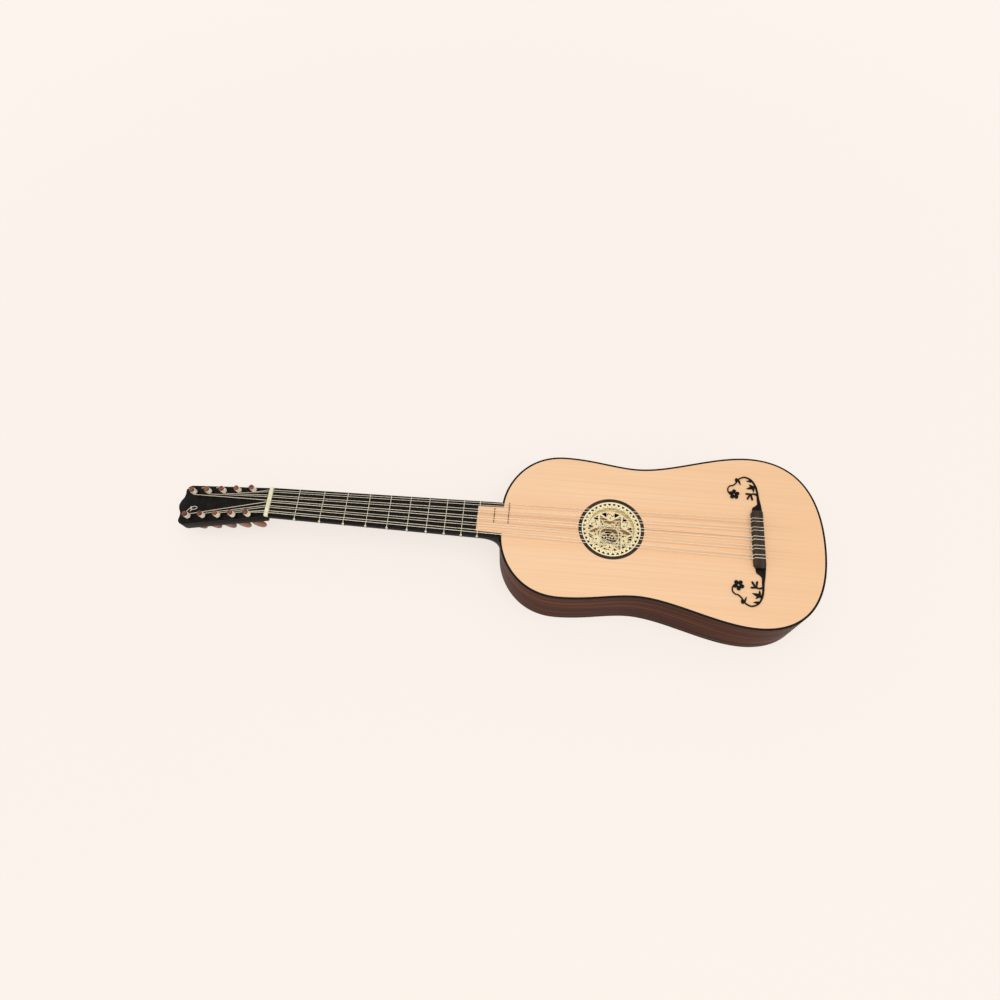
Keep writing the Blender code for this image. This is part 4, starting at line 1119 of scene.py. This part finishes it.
def makeString(number):
    nutY, bridgeY, diameter = stringPlace(number)
    name = "string_%d" % (number + 1)
    nutZ = topZ + courses["heightAtNut"]
    behind = Vector((nutX - nutShape["thickness"] - 0.0003, nutY, nutZ - 0.00005))
    local = headFace.inverted() @ behind
    peg = pegPlaces()[number if number < 5 else 14 - number]
    winding = pegWinding(-local.x, nutY, peg, diameter / 2)
    points = stringTie(bridgeY, diameter / 2, 0.0005 * math.sin(number * 2.4))
    points += [Vector((nutX + 0.0002, nutY, nutZ)), behind]
    points += winding
    s, y = peg
    if y < 0 and s > tuftShape["beyond"]:
        points += tangledTail(winding[-1], 3 + number)
    else:
        points += looseTail(winding[-1], winding[-1] - winding[-2], 11 + number)
    makeTube(name + "_gut", [(points, False, 1.0)], diameter, [name])


for number in range(courses["strings"]):
    makeString(number)
print("strings made")


# Bridge and moustaches
def bridgeProfile(low):
    shape = bridgeShape
    height = shape["height"] - (shape["endDrop"] if low else 0.0)
    front = bridgeFront + (shape["endSetback"] if low else 0.0)
    back = bridgeFront + shape["width"]
    foot = back + shape["foot"]
    edge = shape["edge"]
    quarter = math.pi / 2
    corners = [(front, 0.0)]
    corners += arcPoints((front + edge, height - edge), edge, math.pi, -quarter, 4)
    corners += arcPoints((back - edge, height - edge), edge, quarter, -quarter, 4)
    corners += [(back, shape["footHeight"]), (foot, shape["footHeight"] - shape["footSlope"]), (foot, 0.0)]
    return corners


def makeBridge():
    inner = bridgeHalf - bridgeShape["endTaper"]
    stations = ((-bridgeHalf, True), (-inner, False), (inner, False), (bridgeHalf, True))
    rings = [[(x, y, topZ + z) for x, z in bridgeProfile(low)] for y, low in stations]
    makeSkin("bridge_block", rings, "bridgePear", "stained_pear", ["bridge"])


# Stem and branch: x, y and width along a line. Leaves: stem, tip and width.
moustacheShape = {
    "bottom": 0.00005,
    "thickness": 0.0018,
    "layerStep": 0.00002,
    "edge": 0.0003,
    "steps": 6,
    "flowerCenter": (-0.0215, 0.0255),
    "flowerRadius": 0.0077,
    "eyeRadius": 0.0013,
    "petals": 5,
    "petalSteps": 16,
    "root": ((0.0168, 0.0002), (0.0025, 0.0002), (0.0027, 0.0038)),
    "stem": (
        (0.0100, 0.0034, 0.0142), (0.0117, 0.0077, 0.0090), (0.0127, 0.0122, 0.0050),
        (0.0121, 0.0188, 0.0037), (0.0117, 0.0250, 0.0030), (0.0110, 0.0330, 0.0027),
        (0.0089, 0.0417, 0.0025), (0.0036, 0.0502, 0.0023), (-0.0045, 0.0541, 0.0020),
        (-0.0104, 0.0527, 0.0019), (-0.0147, 0.0495, 0.0019), (-0.0180, 0.0439, 0.0018),
        (-0.0226, 0.0396, 0.0017), (-0.0263, 0.0388, 0.0017), (-0.0291, 0.0363, 0.0017),
        (-0.0302, 0.0325, 0.0017), (-0.0294, 0.0283, 0.0017), (-0.0262, 0.0248, 0.0018),
    ),
    "branch": (
        ((0.0114, 0.0262, 0.0024), (0.0065, 0.0283, 0.0022), (0.0015, 0.0268, 0.0022)),
        ((0.0035, 0.0275, 0.0018), (-0.0010, 0.0275, 0.0026), (-0.0043, 0.0277, 0.0024)),
        ((0.0015, 0.0272, 0.0016), (-0.0008, 0.0235, 0.0026), (-0.0028, 0.0200, 0.0026)),
        ((0.0022, 0.0272, 0.0016), (0.0030, 0.0228, 0.0026), (0.0038, 0.0192, 0.0026)),
    ),
    "leaves": (
        ((0.0098, 0.0400), (-0.0039, 0.0356), 0.0050), ((0.0068, 0.0378), (0.0003, 0.0432), 0.0034),
        ((0.0062, 0.0385), (0.0063, 0.0308), 0.0030), ((0.0062, 0.0482), (-0.0032, 0.0484), 0.0034),
        ((-0.0171, 0.0516), (-0.0174, 0.0430), 0.0042), ((-0.0150, 0.0500), (-0.0116, 0.0411), 0.0026),
    ),
}


def ribbonOutline(stations, roundEnd=True):
    line = smoothPath(stations, moustacheShape["steps"])
    left = []
    right = []
    for index, place in enumerate(line):
        before = line[max(index - 1, 0)]
        after = line[min(index + 1, len(line) - 1)]
        heading = Vector((after.x - before.x, after.y - before.y)).normalized()
        half = place.z / 2
        left.append((place.x - heading.y * half, place.y + heading.x * half))
        right.append((place.x + heading.y * half, place.y - heading.x * half))
    if roundEnd:
        for degrees in (60, 30, 0, -30, -60):
            ahead, aside = polarPoint(half, math.radians(degrees))
            x = place.x + heading.x * ahead - heading.y * aside
            y = place.y + heading.y * ahead + heading.x * aside
            left.append((x, y))
    return left + right[::-1]


def leafOutline(stem, tip, width):
    start = Vector(stem)
    along = Vector(tip) - start
    across = Vector((-along.y, along.x)).normalized() * width / 2
    left = []
    right = []
    for step in range(13):
        share = step / 12
        swell = math.sin(math.pi * (0.12 + 0.88 * share) ** 0.8)
        left.append(tuple(start + along * share + across * swell))
        right.append(tuple(start + along * share - across * swell))
    return left + right[::-1]


def flowerOutline():
    shape = moustacheShape
    points = []
    for angle in evenAngles(shape["petalSteps"] * shape["petals"]):
        swell = abs(math.cos(angle * shape["petals"] / 2)) ** 0.55
        radius = shape["flowerRadius"] * (0.46 + 0.54 * swell)
        points.append(polarPoint(radius, angle + math.pi / 2, shape["flowerCenter"]))
    return points


def makeMoustache(side, word):
    # Each form is a thin plate of its own height, so that none lies in another's face
    shape = moustacheShape
    plates = [[ribbonOutline(shape["stem"], False) + list(shape["root"])]]
    plates.append([flowerOutline(), circlePoints(shape["eyeRadius"], 20, shape["flowerCenter"])])
    plates += [[ribbonOutline(lobe)] for lobe in shape["branch"]]
    plates += [[leafOutline(*leaf)] for leaf in shape["leaves"]]
    mesh = bmesh.new()
    for index, loops in enumerate(plates):
        loops = [[(x, y * side) for x, y in loop] for loop in loops]
        top = shape["thickness"] - shape["layerStep"] * index
        addPlate(mesh, loops, shape["bottom"], top, shape["edge"])
    place = Matrix.Translation((bridgeFront, side * bridgeHalf, topZ))
    nodes = ["moustache_" + word]
    finishPiece("moustache_carved_" + word, mesh, "ebonyBlack", "ebony", nodes, place=place)


makeBridge()
makeMoustache(-1, "bass")
makeMoustache(1, "treble")
print("bridge and moustaches made")


# Rose, sunk in three tiers
roseShape = {
    "card": 0.0006,
    "cardEdge": 0.0001,
    "wall": 0.0008,
    "raised": 0.0005,
    "frameEdge": 0.00015,
    "lap": 0.0003,
    "ringTop": 0.0001,
    "secondRadius": 0.0330,
    "secondDepth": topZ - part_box("rose_lower")[1].z,
    "thirdDepth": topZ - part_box("rose_cup")[1].z,
    "cupRadius": 0.0130,
    "cupDepth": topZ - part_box("rose_cup")[0].z - 0.0008,
    "starPoint": 0.0300,
    "starNotch": 0.0173,
    "starWall": (0.0016, 0.0009),
    "starFrame": (0.0024, 0.0013),
    "points": 6,
    "circle": 120,
}


def wedgeHole(radiusIn, radiusOut, angle, halfAngle, pointsOut):
    base, point = (radiusIn, radiusOut) if pointsOut else (radiusOut, radiusIn)
    corners = [polarPoint(base, angle + turn) for turn in (-halfAngle, halfAngle)]
    return corners + [polarPoint(point, angle)]


def slantedHole(radius, corners, angle, side):
    # An opening beside a middle line. Each corner gives its distance from the radius and its degrees.
    return [polarPoint(radius + out, angle + side * math.radians(turn)) for out, turn in corners]


def starLoop(beyondPoint=0.0, beyondNotch=0.0):
    count = roseShape["points"]
    points = []
    for angle, notch in zip(evenAngles(count), evenAngles(count, 0.5)):
        points.append(polarPoint(roseShape["starPoint"] + beyondPoint, angle))
        points.append(polarPoint(roseShape["starNotch"] + beyondNotch, notch))
    return points


def addFrame(mesh, loops, bottom, top):
    # A raised strip glued along an edge, marked for its paler colour, a painted highlight
    mark = mesh.faces.layers.float.get("raised") or mesh.faces.layers.float.new("raised")
    before = set(mesh.faces)
    addPlate(mesh, loops, bottom, top, roseShape["frameEdge"], 1)
    for face in set(mesh.faces) - before:
        face[mark] = 1.0


def addTier(mesh, loops, top):
    addPlate(mesh, loops, top - roseShape["card"], top, roseShape["cardEdge"], 1)


def addTierFrame(mesh, loops, top):
    addFrame(mesh, loops, top - roseShape["cardEdge"], top + roseShape["raised"])


def placeRose(name, mesh, nodes, look="parchmentCard", slot="parchment"):
    bmesh.ops.translate(mesh, verts=mesh.verts[:], vec=(roseX, 0.0, topZ))
    finishPiece(name, mesh, look, slot, nodes)


def makeRoseRing():
    mesh = bmesh.new()
    loops = ringLoops(shell["ringRadius"], shell["roseRadius"], shell["ringSides"])
    addPlate(mesh, loops, -shell["topThickness"], roseShape["ringTop"], shell["softEdge"])
    placeRose("rose_border", mesh, ["rose_ring"], "roseBorder", "ebony")


edgingShape = {
    "count": 36,
    "play": 0.0001,
    "top": -0.0007,
    "rimFrame": (0.0011, -0.0022, -0.0002),  # width, bottom, top
    "innerFrame": (0.0009, -0.0012, -0.0004),
    "underRim": 0.0008,
    "outerHoles": (-0.0059, -0.0020),
    "innerHoles": (0.0012, 0.0026),
    "halfPitch": 0.39,
    "innerShare": 0.45,
    "wallHoles": (0.0054, 0.0014),  # base and point below the wall's top
    "wallHalfPitch": 0.24,
    "wallShare": 0.6,
}


def addWall(mesh, radius, bottom, top):
    # A pierced strip, made flat and then bent round
    before = set(mesh.verts)
    length = math.tau * radius
    height = top - bottom
    steps = roseShape["circle"]
    outline = [(length * step / steps * 0.99999, 0.0) for step in range(steps + 1)]
    outline += [(x, height) for x, _ in reversed(outline)]
    pitch = length / edgingShape["count"]
    half = pitch * edgingShape["wallHalfPitch"]
    base, point = (height - below for below in edgingShape["wallHoles"])
    loops = [outline]
    for step in range(edgingShape["count"]):
        x = pitch * (step + 0.5)
        loops.append([(x - half, base), (x + half, base), (x, point)])
    addPlate(mesh, loops, 0.0, roseShape["wall"] * edgingShape["wallShare"])
    for vert in set(mesh.verts) - before:
        x, y = polarPoint(radius - vert.co.z, vert.co.x / radius)
        vert.co = (x, y, bottom + vert.co.y)


def makeRoseUpper():
    shape = edgingShape
    count = roseShape["circle"]
    rim = shell["roseRadius"] - shape["play"]
    inner = roseShape["secondRadius"]
    mesh = bmesh.new()
    wide, bottom, top = shape["rimFrame"]
    addFrame(mesh, ringLoops(rim, rim - wide, count), bottom, top)
    loops = ringLoops(rim - shape["underRim"], inner + roseShape["lap"], count)
    half = shape["halfPitch"] * math.tau / shape["count"]
    for angle in evenAngles(shape["count"], 0.5):
        low, high = shape["outerHoles"]
        loops.append(wedgeHole(rim + low, rim + high, angle, half, False))
        low, high = shape["innerHoles"]
        angle += math.pi / shape["count"]
        loops.append(wedgeHole(inner + low, inner + high, angle, half * shape["innerShare"], True))
    addTier(mesh, loops, shape["top"])
    wide, bottom, top = shape["innerFrame"]
    addFrame(mesh, ringLoops(inner + wide, inner, count), bottom, top)
    addWall(mesh, inner + roseShape["wall"] / 2, -roseShape["secondDepth"], bottom)
    placeRose("rose_edging", mesh, ["rose_upper"])


# Openings of a star field, from the edge inwards and in degrees from the field's middle
fieldShape = {
    "rim": 0.0012,
    "triangle": ((-0.0006, 25.2), (-0.0002, 10.2), (-0.0080, 13.8)),
    "scroll": (-0.0043, 5.5),
    "scrollRadii": (0.0023, 0.0013),
    "scrollArc": (3.7, 14),  # radians and steps
    "wedge": (-0.0117, -0.0082, 0.060),
}


def scrollHole(edge, middle, side):
    # Half of an S-shaped opening
    inwards, degrees = fieldShape["scroll"]
    angle = middle + side * math.radians(degrees)
    center = polarPoint(edge + inwards, angle)
    start = angle - side * math.pi / 2
    radii = fieldShape["scrollRadii"]
    outer, inner = (arcPoints(center, radius, start, *fieldShape["scrollArc"]) for radius in radii)
    return outer + inner[::-1]


def makeRoseStar():
    shape = roseShape
    top = -shape["secondDepth"]
    count = shape["circle"]
    edge = shape["secondRadius"] - fieldShape["rim"]
    star = starLoop()
    loops = [circlePoints(shape["secondRadius"] + shape["lap"], count), star]
    for middle in evenAngles(shape["points"], 0.5):
        for side in (-1, 1):
            loops.append(slantedHole(edge, fieldShape["triangle"], middle, side))
            loops.append(scrollHole(edge, middle, side))
        low, high, half = fieldShape["wedge"]
        loops.append(wedgeHole(edge + low, edge + high, middle, half, False))
    mesh = bmesh.new()
    addTier(mesh, loops, top)
    addTierFrame(mesh, [starLoop(*shape["starFrame"]), star], top)
    addTierFrame(mesh, ringLoops(shape["secondRadius"], edge + 0.0001, count), top)
    addPlate(mesh, [starLoop(*shape["starWall"]), star], -shape["thirdDepth"], top - shape["card"])
    placeRose("rose_star", mesh, ["rose_lower"])


# Openings round the cup, from its radius outwards
tierShape = {
    "sides": 64,
    "frame": 0.0010,
    "wall": 0.0008,
    "dot": (0.0068, 0.0013, 12),  # distance, radius, sides
    "point": (0.0094, 0.0136, 0.055),
    "slant": ((0.0027, 1.5), (0.0015, 18.5), (0.0043, 18.0)),
    # Degrees aside, inner and outer distance, half angle in degrees, and whether it points outwards
    "wedges": ((5.2, 0.0014, 0.0048, 3.6, True), (12.0, 0.0062, 0.0092, 3.0, False)),
}
roundel = {
    "at": 0.0066,
    "radius": 0.0046,
    "sides": 32,
    "band": 0.0007,
    "frame": 0.0008,
    "play": 0.0001,
    "eye": 0.0009,
    "whorls": 3,
    "whorlTurn": 1.9,
    "whorlEdge": 0.0002,
    "whorlStart": 0.0012,
    "whorlInset": 0.0018,
    "whorlFade": 1.4,
    "whorlDepth": 0.3,
    "whorlLead": 0.12,
    "whorlSteps": 8,
    "middleHole": 0.0020,
    "betweenDegrees": (142, 118, 94, 74),
    "rimDegrees": 27,
}


def betweenRoundels(gap):
    # The opening between two roundels and the frame of the cup's floor
    arcs = []
    for side in (-1, 1):
        middle = polarPoint(roundel["at"], gap + side * math.pi / 3)
        bends = [gap - side * math.radians(degrees) for degrees in roundel["betweenDegrees"]]
        arcs.append([polarPoint(roundel["radius"] + roundel["play"], bend, middle) for bend in bends])
    outer = roseShape["cupRadius"] - roundel["frame"]
    half = math.radians(roundel["rimDegrees"])
    rim = arcPoints((0.0, 0.0), outer, gap + half, -2 * half, 6)
    return arcs[1] + rim + arcs[0][::-1]


def whorlHole(middle, reach, turn):
    # One of three curved openings that wind round the roundel's eye
    shape = roundel
    outer = []
    inner = []
    for step in range(shape["whorlSteps"] + 1):
        share = step / shape["whorlSteps"]
        left = 1 - share
        bend = turn + share * shape["whorlTurn"]
        outer.append(polarPoint(reach - shape["whorlEdge"], bend, middle))
        rise = (reach - shape["whorlInset"]) * left ** shape["whorlFade"] * shape["whorlDepth"]
        inner.append(polarPoint(shape["whorlStart"] + rise, bend + shape["whorlLead"] * left, middle))
    return outer[1:] + inner[::-1]


def addCupFloor(mesh, cup, top):
    # Three pierced roundels round a small opening
    play = roundel["play"]
    inside = roundel["radius"] - roundel["band"]
    angles = [angle + math.radians(30) for angle in evenAngles(3)]
    loops = [circlePoints(cup + roseShape["lap"], tierShape["sides"])]
    loops.append(circlePoints(roundel["middleHole"], 3, start=math.radians(90)))
    for angle in angles:
        loops.append(betweenRoundels(angle + math.pi / 3))
        middle = polarPoint(roundel["at"], angle)
        loops += [whorlHole(middle, inside, turn + angle) for turn in evenAngles(roundel["whorls"])]
    addTier(mesh, loops, top)
    for angle in angles:
        middle = polarPoint(roundel["at"], angle)
        ring = ringLoops(roundel["radius"] - play, inside + play, roundel["sides"], middle)
        addTierFrame(mesh, ring, top)
        addTierFrame(mesh, [circlePoints(roundel["eye"], 16, middle)], top)


def makeRoseCup():
    # The third tier with its round cup
    shape = tierShape
    top = -roseShape["thirdDepth"]
    cup = roseShape["cupRadius"]
    loops = [starLoop(*roseShape["starWall"]), circlePoints(cup, shape["sides"])]
    for angle in evenAngles(roseShape["points"]):
        out, radius, sides = shape["dot"]
        loops.append(circlePoints(radius, sides, polarPoint(cup + out, angle)))
        low, high, half = shape["point"]
        loops.append(wedgeHole(cup + low, cup + high, angle, half, True))
        for side in (-1, 1):
            loops.append(slantedHole(cup, shape["slant"], angle + math.pi / roseShape["points"], side))
            for aside, low, high, half, pointsOut in shape["wedges"]:
                at = angle + side * math.radians(aside)
                loops.append(wedgeHole(cup + low, cup + high, at, math.radians(half), pointsOut))
    mesh = bmesh.new()
    addTier(mesh, loops, top)
    addTierFrame(mesh, ringLoops(cup + shape["frame"], cup, shape["sides"]), top)
    wall = ringLoops(cup + shape["wall"], cup, shape["sides"])
    addPlate(mesh, wall, -roseShape["cupDepth"], top - roseShape["card"])
    addCupFloor(mesh, cup, -roseShape["cupDepth"])
    placeRose("rose_well", mesh, ["rose_cup"])


makeRoseRing()
makeRoseUpper()
makeRoseStar()
makeRoseCup()
print("rose made")


# Pieces inside the body keep their solids
def finishInside():
    for node in frame["nodes"].values():
        if not node.hide_render:
            node.data.materials.clear()
            node.data.materials.append(looks["innerSpruce"])


finishInside()


# Floor and light
studio = {
    "floor": srgb(253, 244, 237),
    "floorHalf": 8.0,
    "floorBelow": 0.0002,
    "floorGlow": 0.78,
    "shadowReach": (0.55, 1.5),
    "world": (1.0, 0.985, 0.965, 1.0),
    "worldStrength": 0.52,
    "lampPlace": (0.4, -0.9, 4.0),
    "lampSize": 2.6,
    "lampPower": 84.0,
}


def seenDirectly(tree):
    # 1 for what the camera sees, also in a gloss or through clear gut
    rays = addNode(tree, "LightPath").outputs
    seen = calculated(tree, "MAXIMUM", rays["Is Camera Ray"], rays["Is Glossy Ray"])
    return calculated(tree, "MAXIMUM", seen, rays["Is Transmission Ray"])


def showPlain(tree, share, lit, kind, output):
    # The plain colour of the floor over the lit one
    plain = addNode(tree, kind, {"Color": studio["floor"], "Strength": 1.0})
    chosen = addNode(tree, "MixShader", {0: share, 1: lit.outputs[0], 2: plain.outputs[0]})
    tree.links.new(chosen.outputs[0], tree.nodes[output].inputs["Surface"])


def makeFloor():
    # Beside the part the floor takes its shadow, and further away it is plain
    material, tree, shader, place = startMaterial("paleFloor", 0.9)
    shader.inputs["Base Color"].default_value = studio["floor"]
    shader.inputs["Specular IOR Level"].default_value = 0.0
    distance = addNode(tree, "VectorMath", {0: place}, operation="LENGTH").outputs["Value"]
    near, far = studio["shadowReach"]
    values = {"Value": distance, "From Min": near, "From Max": far, "To Min": studio["floorGlow"]}
    glow = addNode(tree, "MapRange", values).outputs[0]
    share = calculated(tree, "MULTIPLY", seenDirectly(tree), glow)
    showPlain(tree, share, shader, "Emission", "Material Output")
    mesh = bmesh.new()
    bmesh.ops.create_grid(mesh, x_segments=1, y_segments=1, size=studio["floorHalf"])
    bmesh.ops.translate(mesh, verts=mesh.verts[:], vec=(0, 0, cadBox[0].z - studio["floorBelow"]))
    floor = addMesh("floor", mesh, material)


def makeLight():
    world = bpy.data.worlds.new("studio")
    bpy.context.scene.world = world
    world.use_nodes = True
    tree = world.node_tree
    soft = tree.nodes["Background"]
    soft.inputs["Color"].default_value = studio["world"]
    soft.inputs["Strength"].default_value = studio["worldStrength"]
    showPlain(tree, seenDirectly(tree), soft, "Background", "World Output")
    lamp = bpy.data.lights.new("softbox_0", "AREA")
    lamp.size = studio["lampSize"]
    lamp.energy = studio["lampPower"]
    softbox = addObject("softbox_0", lamp)
    softbox.location = studio["lampPlace"]
    softbox.rotation_euler = (-Vector(studio["lampPlace"])).to_track_quat("-Z", "Y").to_euler()


makeFloor()
makeLight()
bpy.context.scene.view_settings.view_transform = "Standard"
print("studio set")
